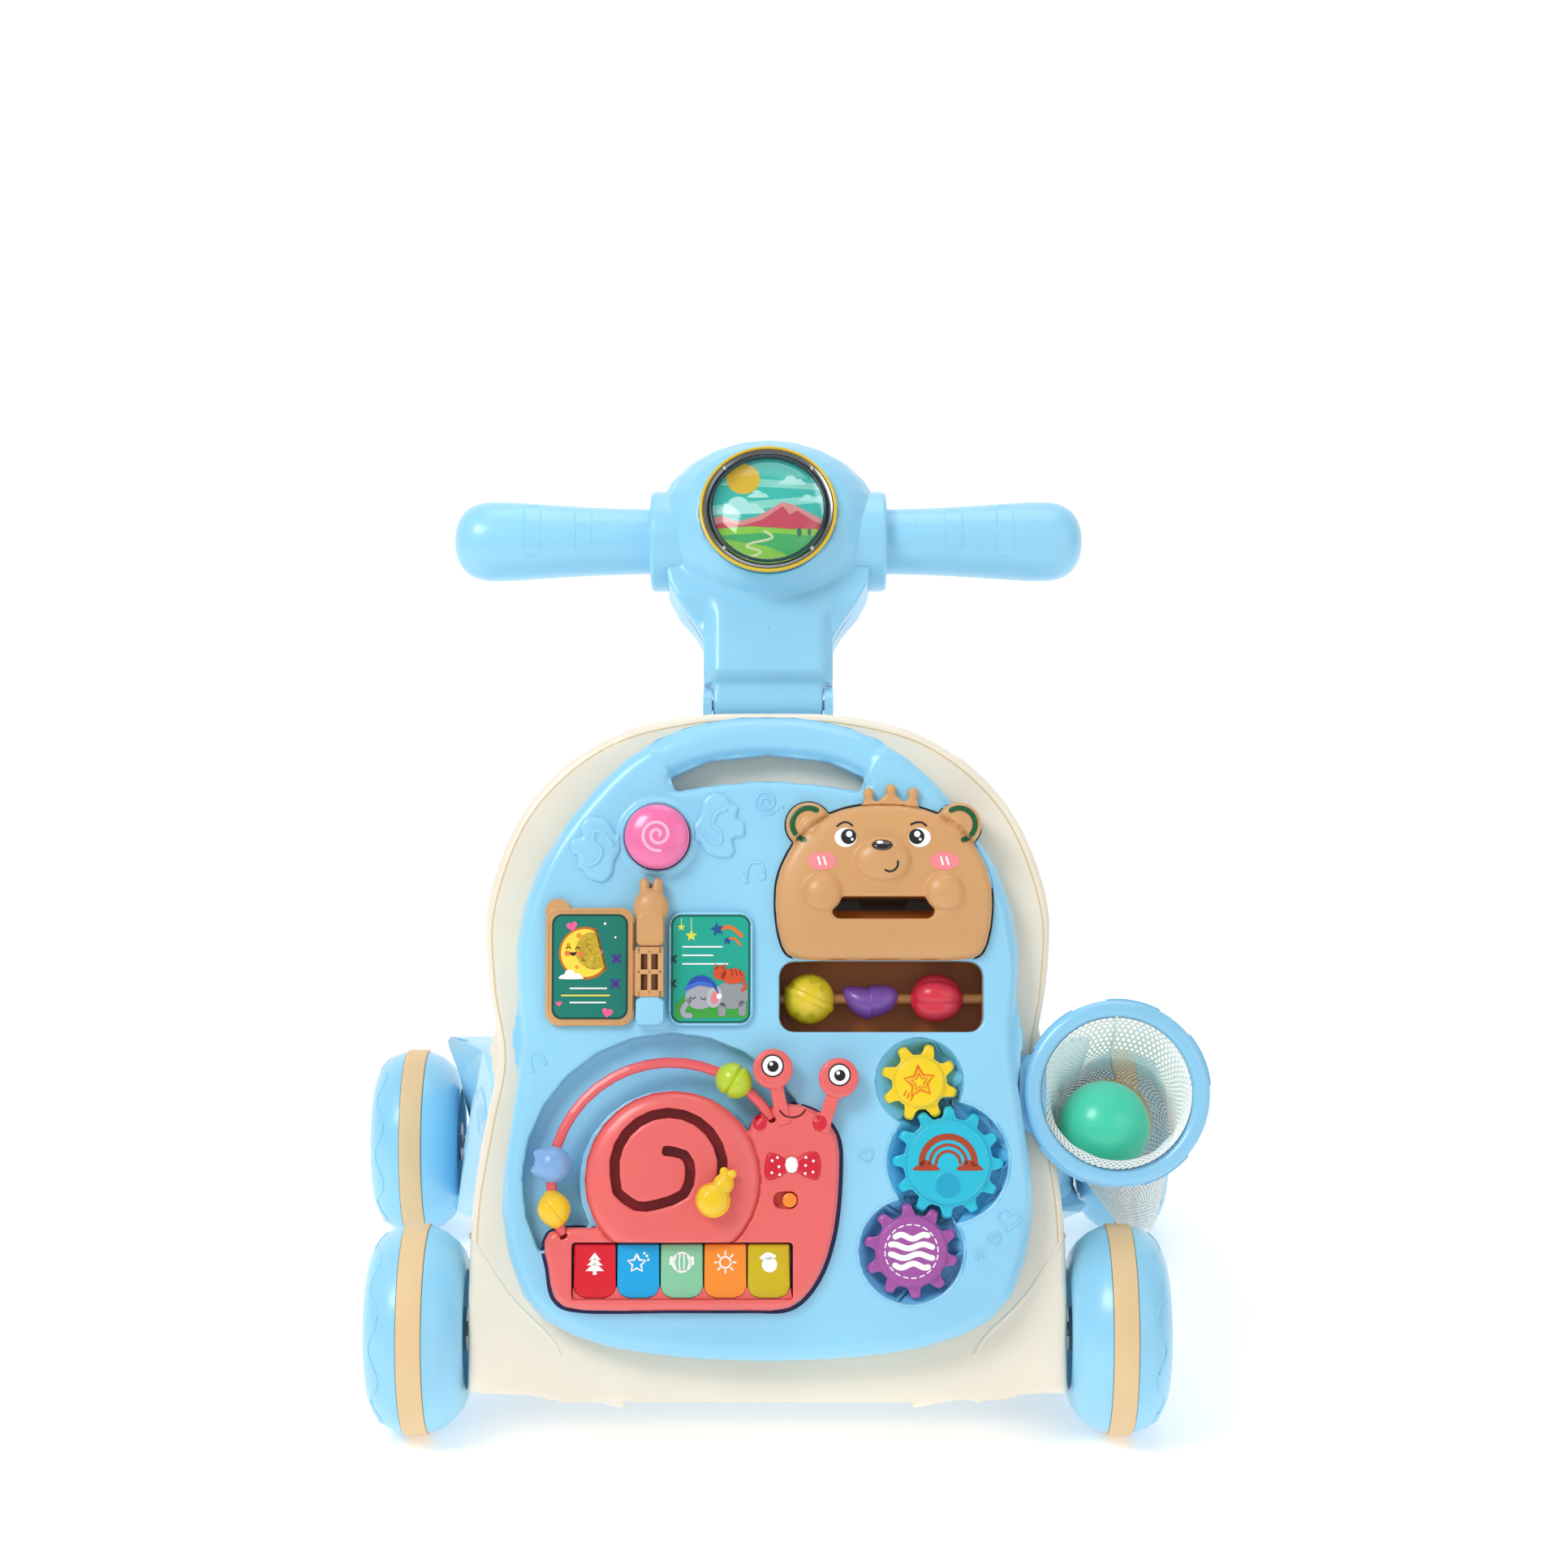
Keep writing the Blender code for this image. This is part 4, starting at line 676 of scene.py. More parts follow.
# ---------------------------------------------------------------- bear
BEAR_OUTLINE = [(62.7 + x, 225.9 + y) for x, y in smooth(mirrored([(0, 58), (-22, 55.5), (-42, 45),
        (-55.5, 24), (-58.5, 4), (-55, -18), (-46, -25.5), (-20, -26.3), (0, -26.3)]), 8)]
EARS = ((22.1, 272.9, 1), (103.3, 272.9, -1))


def add_ball(centre, radii):
    """Returns a step that adds an ellipsoid to a solid in local millimetres."""
    def add(bm):
        fresh = bmesh.ops.create_uvsphere(bm, u_segments=32, v_segments=20, radius=1.0)["verts"]
        for vertex in fresh:
            vertex.co = Vector(centre) + Vector([vertex.co[i] * radii[i] for i in range(3)])
    return add


def add_disc(centre, radius, low, high, sides=64):
    """Returns a step that adds a flat disc."""
    def add(bm):
        add_prism(bm, circle(centre, radius, sides), low, high)
    return add


def shape_bear(points):
    """Domes the face from its rim and rounds the ears."""
    flat = points[:, :2]
    within = inside(flat, BEAR_OUTLINE)
    rim = to_outline(flat, BEAR_OUTLINE)
    front = np.clip((points[:, 2] - 58) / 3, 0, 1) * within
    bulge = 6.0 * np.sqrt(1 - (1 - np.clip(rim / 26, 0, 1)) ** 2)
    points[:, 2] += front * (bulge - 3.4 - rounded(rim, 3.0) * 0.4)
    for x, y, _ in EARS:
        reach = 12.3 - np.hypot(flat[:, 0] - x, flat[:, 1] - y)
        ear = (reach > -0.5) & ~within & (points[:, 2] > 58)
        points[ear, 2] += (1.6 - rounded(np.clip(reach, 0, 20), 3.5))[ear]
    return points


def make_bear():
    """The bear face, with its ears, paws, crown, eyes, cheeks and mouth."""
    paws = [add_ball((29.5, 235.7, 62.3), (10.8, 10.4, 6.0)), add_ball((95.4, 236.2, 62.3), (10.8, 10.4,
            6.0)), add_ball((62.2, 253.2, 62.9), (15.2, 11.7, 5.6))]
    crown = [add_ball((x, y, 58.8), (3.1, 3.1, 2.7)) for x, y in ((54.5, 290.1), (66.7, 292),
            (78.8, 290.1))]
    ears = [add_ball((x + 1.2 * side, 271.6, 60.9), (5.6, 5.6, 3.0)) for x, _, side in EARS]
    resurface("bear_skin", ["bear_face"], TAN, voxel=0.9, adds=paws + crown + ears, shape=shape_bear,
            relax=3)
    # Painted shadow: black sheets slightly larger than the bear face and round each ear are laid on the
    # board, standing for the shade in the gap round the face.
    seam = [(62.7 + (x - 62.7) * 1.016, 228 + (y - 228) * 1.02) for x, y in BEAR_OUTLINE]
    ear_gap_shadows = [circle((x, y), 13.0) for x, y, _ in EARS]
    black = printed("black", (22, 18, 18))
    white = printed("white", (250, 250, 248))
    green = printed("ear_green", (12, 88, 46))
    pink = printed("blush", (250, 140, 150))
    for number, outline in enumerate([seam] + ear_gap_shadows):
        laid("bear_gap_shadow_%d" % number, [outline], "board_skin", "board", black, 0.1, step=6.0)
    for x, y, side in EARS:
        start = 60 if side > 0 else -75
        on_bear("ear_arc_%d" % (side > 0), [stroke(arc((x, y), 8.7, start, start + 195, 24), 3.0)], green,
                0.12, step=1.5)
        blush_place = (62.2 - 33.0 * side, 252.9)
        on_bear("blush_%d" % (side > 0), [oval(blush_place, 7.9, 4.8)], pink, 0.12)
        marks = [stroke([(blush_place[0] + k - 0.5, 255), (blush_place[0] + k + 0.7, 251)],
                1.1) for k in (-1.5, 1.5)]
        on_bear("blush_marks_%d" % (side > 0), marks, white, 0.25)
        eye = (62.0 - 19.9 * side, 265.6)
        on_bear("eye_white_%d" % (side > 0), [oval(eye, 6.0, 5.3)], white, 0.14)
        pupil = (eye[0] + 1.6 * side, eye[1] + 0.5)
        on_bear("eye_black_%d" % (side > 0), [circle(pupil, 4.15, 32)], black, 0.26)
        glints = [circle((pupil[0] + 0.3, pupil[1] + 1.3), 1.7, 20),
                circle((pupil[0] + 1.9, pupil[1] - 1.5), 0.8, 14)]
        on_bear("eye_glint_%d" % (side > 0), glints, white, 0.38, step=1.0)
        brow = [(eye[0] - 4.6, 271.8 + 0.9 * (side < 0)), (eye[0] - 1.5, 273.8), (eye[0] + 1.5, 273.6),
                (eye[0] + 3.6, 272.0)]
        on_bear("brow_%d" % (side > 0), [stroke(smooth(brow, 5, False), 1.1)], black, 0.14)
    on_bear("bear_nose", [oval((61.6, 261.3), 5.7, 3.1)], moulded("nose", (20, 16, 16), 0.15, 0.6), 0.0,
            1.5, 3.0, 1.0)
    on_bear("nose_glint", [oval((60.4, 262.6), 1.8, 0.9)], white, 1.6, step=1.0)
    smile = [(63.3, 247.6), (65.5, 246.9), (68, 247.6), (69.7, 249.6), (70.1, 252.3)]
    on_bear("bear_smile", [stroke(smooth(smile, 6, False), 1.1)], black, 0.15, step=1.2)
    rims = [(35.1, 89.6, 222.3, 233.6, 58.0), (35.1, 89.6, 222.3, 233.6, 52.0), (36, 88.6, 223, 233.2,
            45.0)]
    bm = bmesh.new()
    rings = [[bm.verts.new((x, y, w - (y - 228) * (58 - w) * 0.1)) for x, y in rounded_box((left, right),
            (low, high), 3.8)] for left, right, low, high, w in rims]
    for near, far in zip(rings, rings[1:]):
        for i in range(len(near)):
            j = (i + 1) % len(near)
            bm.faces.new((near[i], near[j], far[j], far[i]))
    bm.faces.new(rings[-1])
    liner = piece_from("mouth_liner", bm, PANEL, "board", BROWN, 30)


# ---------------------------------------------------------------- snail and keys
SNAIL_BODY = smooth([(8, 123), (26, 119), (37, 106), (38.5, 86), (35.5, 55), (27, 30), (12, 14.5),
        (-12, 13.2), (-50, 13.2), (-98, 13.2), (-113, 19), (-117, 36), (-119, 50), (-108, 57), (-60, 57),
        (-14, 66), (-12, 96), (-8, 114)], 8)
DOME_CENTRE = (-50.4, 82.5)
DOME_RADIUS = 47.3
KEY_LEFTS = [-103.2 + 23.2 * i for i in range(5)]


def shape_snail(points):
    """Domes the snail's shell and rounds its body."""
    flat = points[:, :2]
    reach = DOME_RADIUS - np.hypot(flat[:, 0] - DOME_CENTRE[0], flat[:, 1] - DOME_CENTRE[1])
    on_dome = (reach > -0.4) & (points[:, 2] > 63.2)
    dome = 1.5 - 6.0 * (1 - np.sqrt(1 - (1 - np.clip(reach / 17, 0, 1)) ** 2))
    points[on_dome, 2] += dome[on_dome]
    rim = to_outline(flat, SNAIL_BODY)
    body = inside(flat, SNAIL_BODY) & ~on_dome & (points[:, 2] > 60) & (points[:, 2] < 63.2)
    points[body, 2] += (1.2 - rounded(rim, 5.0) * 0.9)[body]
    return points


def make_snail():
    """The snail, with its face, bow tie and keys."""
    resurface("snail_skin", ["snail_body"], CORAL, voxel=0.9, shape=shape_snail, relax=3)
    navy = printed("seam_navy", (26, 30, 84))
    seam = [(x + 0.9 * (1 if x > -40 else -1), y - 0.6) for x, y in SNAIL_BODY]
    laid("snail_seam", [stroke(seam + seam[:1], 2.2)], "board_skin", "board", navy, 0.1, step=6.0)
    black = printed("black", (22, 18, 18))
    white = printed("white", (250, 250, 248))
    red = printed("cheek_red", (214, 22, 52))
    for number, (centre, look) in enumerate((((2.9, 141.4), (-0.1, 1.6)), ((38.1, 136.6), (0.4, 1.6)))):
        ring = circle(centre, 8.2, 40)
        on_snail("eye_rim_%d" % number, [stroke(ring + ring[:1], 0.8)], CORAL, -0.05, 0.5, 0.4, 0.8)
        place = (centre[0] + look[0], centre[1] + look[1])
        on_snail("snail_eye_edge_%d" % number, [circle(place, 6.1, 36)], black, 0.12)
        on_snail("snail_eye_white_%d" % number, [circle(place, 5.3, 36)], white, 0.2)
        on_snail("snail_pupil_%d" % number, [circle((place[0] + 0.2, place[1] - 0.3), 3.0, 28)], black, 0.3)
        on_snail("snail_glint_%d" % number, [circle((place[0] - 0.7, place[1] + 1.0), 1.0, 16)], white,
                0.4, step=1.0)
    on_snail("snail_smile", [stroke(smooth([(6.6, 119.2), (9.5, 116.4), (14, 115.6), (18, 116.9),
            (20.4, 119.6)], 6, False), 1.0)], printed("smile", (96, 10, 26)), 0.14, step=1.5)
    on_snail("snail_cheeks", [oval((-4, 112.8), 3.9, 4.4), oval((28, 112.5), 4.0, 4.2)], red, 0.0, 0.7,
            2.0, 1.2)
    bow = smooth([(13, 87.2), (6, 83.4), (0.5, 82.2), (-1.6, 86), (-1.2, 92), (0.6, 96.6), (5.5, 96),
            (13, 92.6), (20, 96.6), (26, 97.4), (28.4, 93), (28.6, 87.6), (26.6, 82.4), (20.5, 83.6)], 4)
    on_snail("bow_tie", [bow], red, -0.05, 1.3, 3.0, 1.2)
    dots = [(2.4, 86.2), (2.6, 92.6), (6.2, 89.4), (5.4, 94.2), (6.6, 85.2), (20.4, 90), (20.6, 94.3),
            (24.6, 92.4), (24.4, 86.6), (20.2, 85.8)]
    on_snail("bow_dots", [circle(dot, 0.75, 14) for dot in dots], white, 1.4, step=1.0)
    on_snail("bow_knot", [oval((13, 90.3), 3.9, 4.3)], white, 0.6, 1.6, 3.5, 1.0)
    make_keys(white)


def key_outline(left, width, low, high, lower):
    """A key seen from above: nearly square at the top, with round lower corners."""
    right = left + width
    return ([(right - 0.8, high), (left + 0.8, high), (left, high - 0.8)]
            + arc((left + lower, low + lower), lower, 180, 270, 8) + arc((right - lower, low + lower),
            lower, 270, 360, 8) + [(right, high - 0.8)])


def make_keys(white):
    """The five note keys and the scalloped sill below them."""
    names = ("red", "blue", "green", "orange", "olive")
    for name, left in zip(names, KEY_LEFTS):
        bm = bmesh.new()
        add_prism(bm, key_outline(left, 22.4, 19.9, 48.3, 6.0), 51.5, 60.9, 1.1, 4)
        key = piece_from("key_skin_" + name, bm, PANEL, "key_%s_body" % name, moulded("key_" + name,
                COLOURS["key_" + name], 0.2, 0.45, 0.01, 900.0, 0.05))
        stands_for(key, "key_" + name)
    top = []
    for left in KEY_LEFTS:
        top += arc((left + 6.0, 25.9), 6.4, 180, 270, 8) + arc((left + 16.4, 25.9), 6.4, 270, 360, 8)
    sill = bmesh.new()
    add_prism(sill, top + [(13.5, 19.0), (-104.3, 19.0)], 50, 60.6, 0.4)
    piece_from("key_sill", sill, PANEL, "board", CORAL)
    make_key_prints(white)


def make_key_prints(white):
    """The white picture on each key."""
    lefts = dict(zip(("red", "blue", "green", "orange", "olive"), KEY_LEFTS))
    middle = {name: left + 11.2 for name, left in lefts.items()}
    y = 38.6
    tree = [[(middle["red"] + x, y + dy) for x, dy in ((-3.2, 1.2), (0, 5.2), (3.2, 1.2))],
            [(middle["red"] + x, y + dy) for x, dy in ((-4.2, -1.6), (0, 2.6), (4.2, -1.6))],
            [(middle["red"] + x, y + dy) for x, dy in ((-5.0, -4.6), (0, 0), (5.0, -4.6))],
            rounded_box((middle["red"] - 1, middle["red"] + 1), (y - 6.6, y - 4.4), 0.3)]
    shape = star((middle["blue"] - 0.8, y - 0.6), 5.0, 2.4)
    stars = [stroke(shape + shape[:1], 1.1)] + [circle((middle["blue"] + dx, y + dy), 0.7, 12) for dx,
            dy in ((4.6, 3.4), (3.2, 4.8), (5.4, 1.4))]
    ribs = [stroke(smooth([(middle["green"] + x, y - 4.4), (middle["green"] + 1.5 * x, y),
            (middle["green"] + x, y + 4.4)], 6, False), 0.7) for x in (-2.6, -0.9, 0.9, 2.6)]
    edge = oval((middle["green"], y), 4.9, 5.1)
    cactus = ribs + [stroke(edge + edge[:1], 0.9)]
    cactus += [stroke([(middle["green"] + 5.6 * side, y + 2.6), (middle["green"] + 5.9 * side, y - 0.8)],
            1.5) for side in (-1, 1)]
    disc = circle((middle["orange"], y), 2.9, 24)
    sun = [stroke(disc + disc[:1], 0.9)]
    sun += [stroke([(middle["orange"] + 4.1 * cos(radians(a)), y + 4.1 * sin(radians(a))),
            (middle["orange"] + 5.6 * cos(radians(a)), y + 5.6 * sin(radians(a)))], 0.9) for a in range(0,
            360, 45)]
    nut = [circle((middle["olive"] + 0.4, y - 1.2), 4.1, 28), smooth([(middle["olive"] - 5, y + 2),
            (middle["olive"] - 1, y + 5.4), (middle["olive"] + 4, y + 3.4), (middle["olive"] + 1, y
            + 1.6)], 4)]
    for name, shapes in (("red", tree), ("blue", stars), ("green", cactus), ("orange", sun), ("olive", nut)):
        laid("key_icon_" + name, shapes, "key_" + name, "key_%s_body" % name, white, 0.1, step=3.0)


def soften_edges(node, width):
    """Rounds a carried-over CAD node's edges without changing its mesh."""
    weld = node.modifiers.new("weld", "WELD")
    weld.merge_threshold = 0.00001
    bevel = node.modifiers.new("round_edges", "BEVEL")
    bevel.width = width * MM
    bevel.segments = 3
    bevel.limit_method = "ANGLE"
    bevel.angle_limit = radians(40)
    bevel.harden_normals = False


# ---------------------------------------------------------------- handle
def shape_handle(points):
    """Bevels the neck's front corners."""
    low = np.clip((60 - points[:, 1]) / 12, 0, 1) * (points[:, 1] > 8)
    side = np.clip((np.abs(points[:, 0]) - 27.5) / 8, 0, 1)
    front = (points[:, 2] > 4) * low * side
    points[:, 2] -= front * 7.0 * side
    return points


def add_seam_band(bm):
    """Closes the joint line between the head's two halves."""
    steps = 72
    loops = []
    for i in range(steps):
        a = 2 * pi * i / steps
        for shrink, depth in ((1.0, -1.2), (1.0, 1.2), (0.955, 1.2), (0.955, -1.2)):
            loops.append(bm.verts.new((65.5 * shrink * cos(a), 109.0 + 52.0 * shrink * sin(a), depth)))
    for i in range(steps):
        j = (i + 1) % steps
        for k in range(4):
            m = (k + 1) % 4
            bm.faces.new((loops[4 * i + k], loops[4 * i + m], loops[4 * j + m], loops[4 * j + k]))


def make_handle():
    """The neck, head, collar and grips."""
    resurface("handle_skin", ["head_front", "head_back", "neck"], BLUE, HANDLE, 1.3, [add_seam_band],
            shape_handle, 7)
    profile = [(40, 24), (40.6, 27.2), (43, 28.6), (63, 28.6), (66, 28.1), (67.2, 26.4), (67.8, 20),
            (69, 18.7), (80, 18.9), (100, 19.6), (120, 20.8), (145, 22.4), (158, 22.7), (166, 21.6),
            (172, 18.8), (176, 14.6), (178.5, 9.2), (179.5, 4), (179.6, 0)]
    for side, sign in (("left", -1), ("right", 1)):
        smooth_profile = [(r, sign * a) for a, r in smooth(profile, 3, False)]
        grip = turned("grip_skin_" + side, smooth_profile, HANDLE, "handle", BLUE, 96, "x",
                centre=(0, 102, -2))
        stands_for(grip, "grip_" + side)
        grip_node = "grip_%s" % side
        for place, tall in ((134.6, 15.5), (105.6, 13.0), (79.2, 10.5)):
            box = rounded_box((sign * place - 4.7, sign * place + 4.7), (102 - tall, 102 + tall), 0.8, 3)
            laid("grip_pad_%s_%d" % (side, place), [stroke(box + box[:1], 0.9)], grip_node, "handle",
                 BLUE, 0.05, 0.45, 0.45, 1.2, HANDLE)
            if place > 80:
                pin = circle((sign * place, 103), 1.6, 18)
                laid("grip_pin_%s_%d" % (side, place), [stroke(pin + pin[:1], 0.7)], grip_node, "handle",
                     BLUE, 0.1, 0.4, 0.4, 0.8, HANDLE)
    mark = circle((0, 41), 1.3, 18)
    relief("neck_mark", [mark], "handle_skin", "handle", BLUE, 0.5, 0.8, 0.7, HANDLE)
    make_lens()


def cloud(centre, scale):
    """The outline of a puffy cloud with a flat foot."""
    puffs = [(-7, 0.2), (-6.6, 2.4), (-4.4, 3.2), (-3.4, 5.2), (-0.8, 6.2), (1.6, 5.2), (2.6, 3.6),
            (4.6, 3.8), (6.4, 2.2), (7, 0.2)]
    return smooth([(centre[0] + x * scale, centre[1] + y * scale) for x, y in puffs], 4)


def make_lens():
    """The picture under the lens, its rings and the four pegs."""
    y = 103.0
    rim = 32.4
    sky = moulded("sky", (40, 190, 178), 0.4, 0.2, 0.01, 500, 0.0, 0.12)
    laid("lens_sky", [circle((0, y), rim, 64)], "picture_disc", "handle", sky, 0.1, step=4.0, matrix=HANDLE)
    layers = (("sky_band", (150, 220, 206), 0.16, [[(-31, y + 4), (31, y + 10), (31, y + 6),
            (-31, y - 2)], [(-26, y + 16), (29, y + 13), (27, y + 17), (-20, y + 21)]]),
            ("sun", (250, 186, 16), 0.24, [circle((-13.6, y + 19.4), 9.0, 40)]),
            ("cloud", (196, 238, 232), 0.3, [cloud((-15, y - 1.5), 1.7), cloud((-5.5, y + 8.2), 0.75),
            cloud((13, y + 16), 0.95), cloud((22, y + 6), 0.7)]), ("far_ridge", (240, 142, 140), 0.36,
            [[(-32, y - 4), (-26, y - 2), (-17, y - 6), (-6, y - 3), (8, y + 5.6), (14, y + 4),
            (29, y - 4), (30, y - 12), (-30, y - 12)]]), ("near_ridge", (226, 56, 84), 0.42,
            [[(-31, y - 8), (-24, y - 6), (-14, y - 8.4), (-3, y - 5), (8, y + 3.2), (12, y - 2),
            (16, y + 0.6), (24, y - 5), (31, y - 8), (28.5, y - 14), (-28, y - 14)]]),
            ("meadow", (150, 206, 60), 0.48, [[(-30.6, y - 10), (-10, y - 9), (12, y - 10.6),
            (30.4, y - 10)] + arc((0, y), rim, -19, -161, 30)]), ("field", (64, 178, 96), 0.54,
            [[(-29, y - 14), (0, y - 13), (29, y - 14.4)] + arc((0, y), rim, -27, -60, 10) + [(0, y - 21),
            (-20, y - 17)]]), ("path", (236, 226, 170), 0.6,
            [stroke(smooth([(-14, y - 28), (-4, y - 24), (-12, y - 20), (2, y - 16), (-2, y - 12)], 6,
            False), 1.3)]), ("tree", (20, 110, 70), 0.66, [oval((17, y - 12.5), 1.3, 2.8),
            oval((22.5, y - 12), 1.0, 2.2)]),)
    # Painted light: the sky and every ink of the picture glow by emission, so they stay bright under the
    # lens.
    glow(sky, (40, 190, 178), 0.3)
    for name, colour, lift, shapes in layers:
        ink = glow(printed(name, colour), colour, 0.3)
        laid("lens_" + name, shapes, "picture_disc", "handle", ink, lift, step=5.0, matrix=HANDLE)
    ring_looks = (("lens_gold_ring", 37.9, 1.0, 41.0, moulded("gold_ring", (222, 190, 40), 0.25, 0.4)),
            ("lens_dark_ring", 32.2, 1.0, 41.6, moulded("dark_teal", (8, 54, 62), 0.25, 0.4)),)
    for name, radius, thick, height, material in ring_looks:
        loop = [(radius * cos(2 * pi * i / 96), y + radius * sin(2 * pi * i / 96),
                height) for i in range(96)]
        tube(name, loop, thick, HANDLE, "handle", material, 10, True)
    chrome = moulded("dark_chrome", (128, 130, 134), 0.22, 0.3, 0.02, 500, 0.0, 0.25)
    chrome.node_tree.nodes["Principled BSDF"].inputs["Metallic"].default_value = 0.85
    bezel = turned("lens_bezel_skin", [(32.9, 35), (37.5, 35), (37.5, 39.6), (37.1, 41.2), (36.2, 42),
            (34.8, 41.6), (33.4, 40.4), (32.9, 39.4)], HANDLE, "handle", chrome, 96, closed=True,
            centre=(0, y, 0))
    stands_for(bezel, "lens_bezel")
    for number in range(4):
        a = radians(45 + 90 * number)
        peg = blob("lens_peg_%d" % number, (34.9 * cos(a), y + 34.9 * sin(a), 41.6), (1.5, 1.5, 1.4),
                HANDLE, "handle", steel(), sides=16)
    dome = turned("lens_dome_skin", [(0, 36.3), (31.0, 36.3), (32.2, 38.0), (31.9, 39.6), (29.5, 41.6),
            (24, 43.9), (16, 45.6), (8, 46.3), (0, 46.5)], HANDLE, "handle", clear(), 96, centre=(0, y,
            0))
    stands_for(dome, "lens_dome")


# ---------------------------------------------------------------- wheels
def make_wheels():
    """Wheels, tyre bands and hub caps."""
    band = 6.7
    body = [(0, -10.7), (4.3, -10.7), (4.3, -26.8), (11.5, -27.3), (12, -26.8), (12, 14), (33, 14),
            (33, -26.6), (33.6, -27.3), (38, -27.3), (42.5, -25.6), (47.5, -22), (52.5, -16), (55.4, -10),
            (56.2, -band - 0.3), (53.9, -band - 0.2), (53.9, band + 0.2), (56.2, band + 0.3), (55.6, 10),
            (53.6, 15), (50.4, 19.4), (46, 23), (40, 25.6), (33, 26.9), (24, 27.3), (10, 27.3), (9, 26.9),
            (0, 26.9)]
    tyre = [(54.3, -band), (56.6, -band), (57.3, -6.3), (57.5, -5.4), (57.5, 5.4), (57.3, 6.3),
            (56.6, band), (54.3, band)]
    for end, x in (("front", 192.0), ("rear", 221.0)):
        joint = JOINTS["wheel_%s_left_spin" % end]["pos_m"]
        for side, sign in (("left", -1), ("right", 1)):
            name = end + "_" + side
            place = Matrix.Translation((sign * x * MM, joint[1], joint[2]))
            rides = "wheel_%s_body" % name
            wheel = turned("wheel_skin_" + name, [(r, sign * a) for r, a in body], place, rides, BLUE, 96,
                    "x")
            stands_for(wheel, "wheel_" + name)
            band_piece = turned("tyre_skin_" + name, [(r, sign * a) for r, a in tyre], place, rides, TYRE,
                    96, "x", closed=True)
            stands_for(band_piece, "tyre_" + name)
            wave = []
            for i in range(160):
                turn = 2 * pi * i / 160
                out = 19.6 + 2.6 * sin(turn * 9)
                radius = float(np.interp(out, [10, 15, 19.4, 23, 25.6], [55.6, 53.6, 50.4, 46, 40])) + 0.05
                wave.append((sign * out, radius * cos(turn), radius * sin(turn)))
            tube("wheel_wave_" + name, wave, 0.55, place, rides, BLUE, 8, True)
            cap = turned("hub_cap_" + name, [(9.4, sign * 26.6), (9.4, sign * 27.6), (8.6, sign * 28.9),
                    (6, sign * 29.7), (0, sign * 30)], place, rides, CREAM, 48, "x")


# ---------------------------------------------------------------- book
def crescent(centre, radius, turn):
    """A crescent moon: a wide outer arc closed by an inner one that bulges the same way."""
    outer = arc((0, 0), radius, 50, 310, 60)
    tip = radius * cos(radians(50)), radius * sin(radians(50))
    hollow = radius * 0.42
    reach = hypot(tip[0] - hollow, tip[1])
    opening = degrees_of(tip[1], tip[0] - hollow)
    inner = arc((hollow, 0), reach, 360 - opening, opening, 40)
    return moved(outer + inner[1:-1], centre, turn)


def degrees_of(y, x):
    """Angle of a direction, in degrees."""
    return atan2(y, x) * 180 / pi


def cross_stitch(centre, size, turn=0.78):
    """Four small petals set as an X."""
    return [oval((centre[0] + size * cos(turn + pi / 2 * k), centre[1] + size * sin(turn + pi / 2 * k)),
            size, size * 0.5, turn + pi / 2 * k, 16) for k in range(4)]


def lines(left, rights, top, pitch, width=0.8):
    """Rows of plain bars that stand for a story's lines."""
    return [stroke([(left[i], top - pitch * i), (right, top - pitch * i)], width) for i,
            right in enumerate(rights)]


def make_book():
    """The two pages and the spine between them."""
    board_side = (("frame", BLUE, "board", "book_page_fixed", (-53.6, -7.5, 164.3, 226), 59.6),
            ("frame", TAN, "book_page_turning_body", "book_page_turning", (-119.4, -71.6, 164.5, 228),
            59.9))
    white = printed("white", (250, 250, 248))
    for number, (_, material, body, node, (left, right, low, high), _) in enumerate(board_side):
        inset = 3.4 if number else 1.6
        soften_edges(frame["nodes"][node], 1.0)
        outer = rounded_box((left + 1, right - 1), (low + 1, high - 1), 6.5)
        laid("page_rim_%d" % number, [stroke(outer + outer[:1], 2.0 if number else 1.4)], node, body,
             material, -0.05, 0.8, 0.9, 1.5)
        edge = printed("page_edge_%d" % number, ((4, 96, 84), (12, 70, 66))[number])
        field = printed("page_field_%d" % number, ((14, 168, 146), (4, 122, 106))[number])
        laid("page_edge_%d" % number, [rounded_box((left + inset, right - inset), (low + inset,
                high - inset), 5.5)], node, body, edge, 0.1, step=8)
        laid("page_field_%d" % number, [rounded_box((left + inset + 1.2, right - inset - 1.2),
                (low + inset + 1.2, high - inset - 1.2), 4.6)], node, body, field, 0.18, step=8)
    make_left_picture("book_page_turning", "book_page_turning_body", white)
    make_right_picture("book_page_fixed", "board", white)
    make_spine()


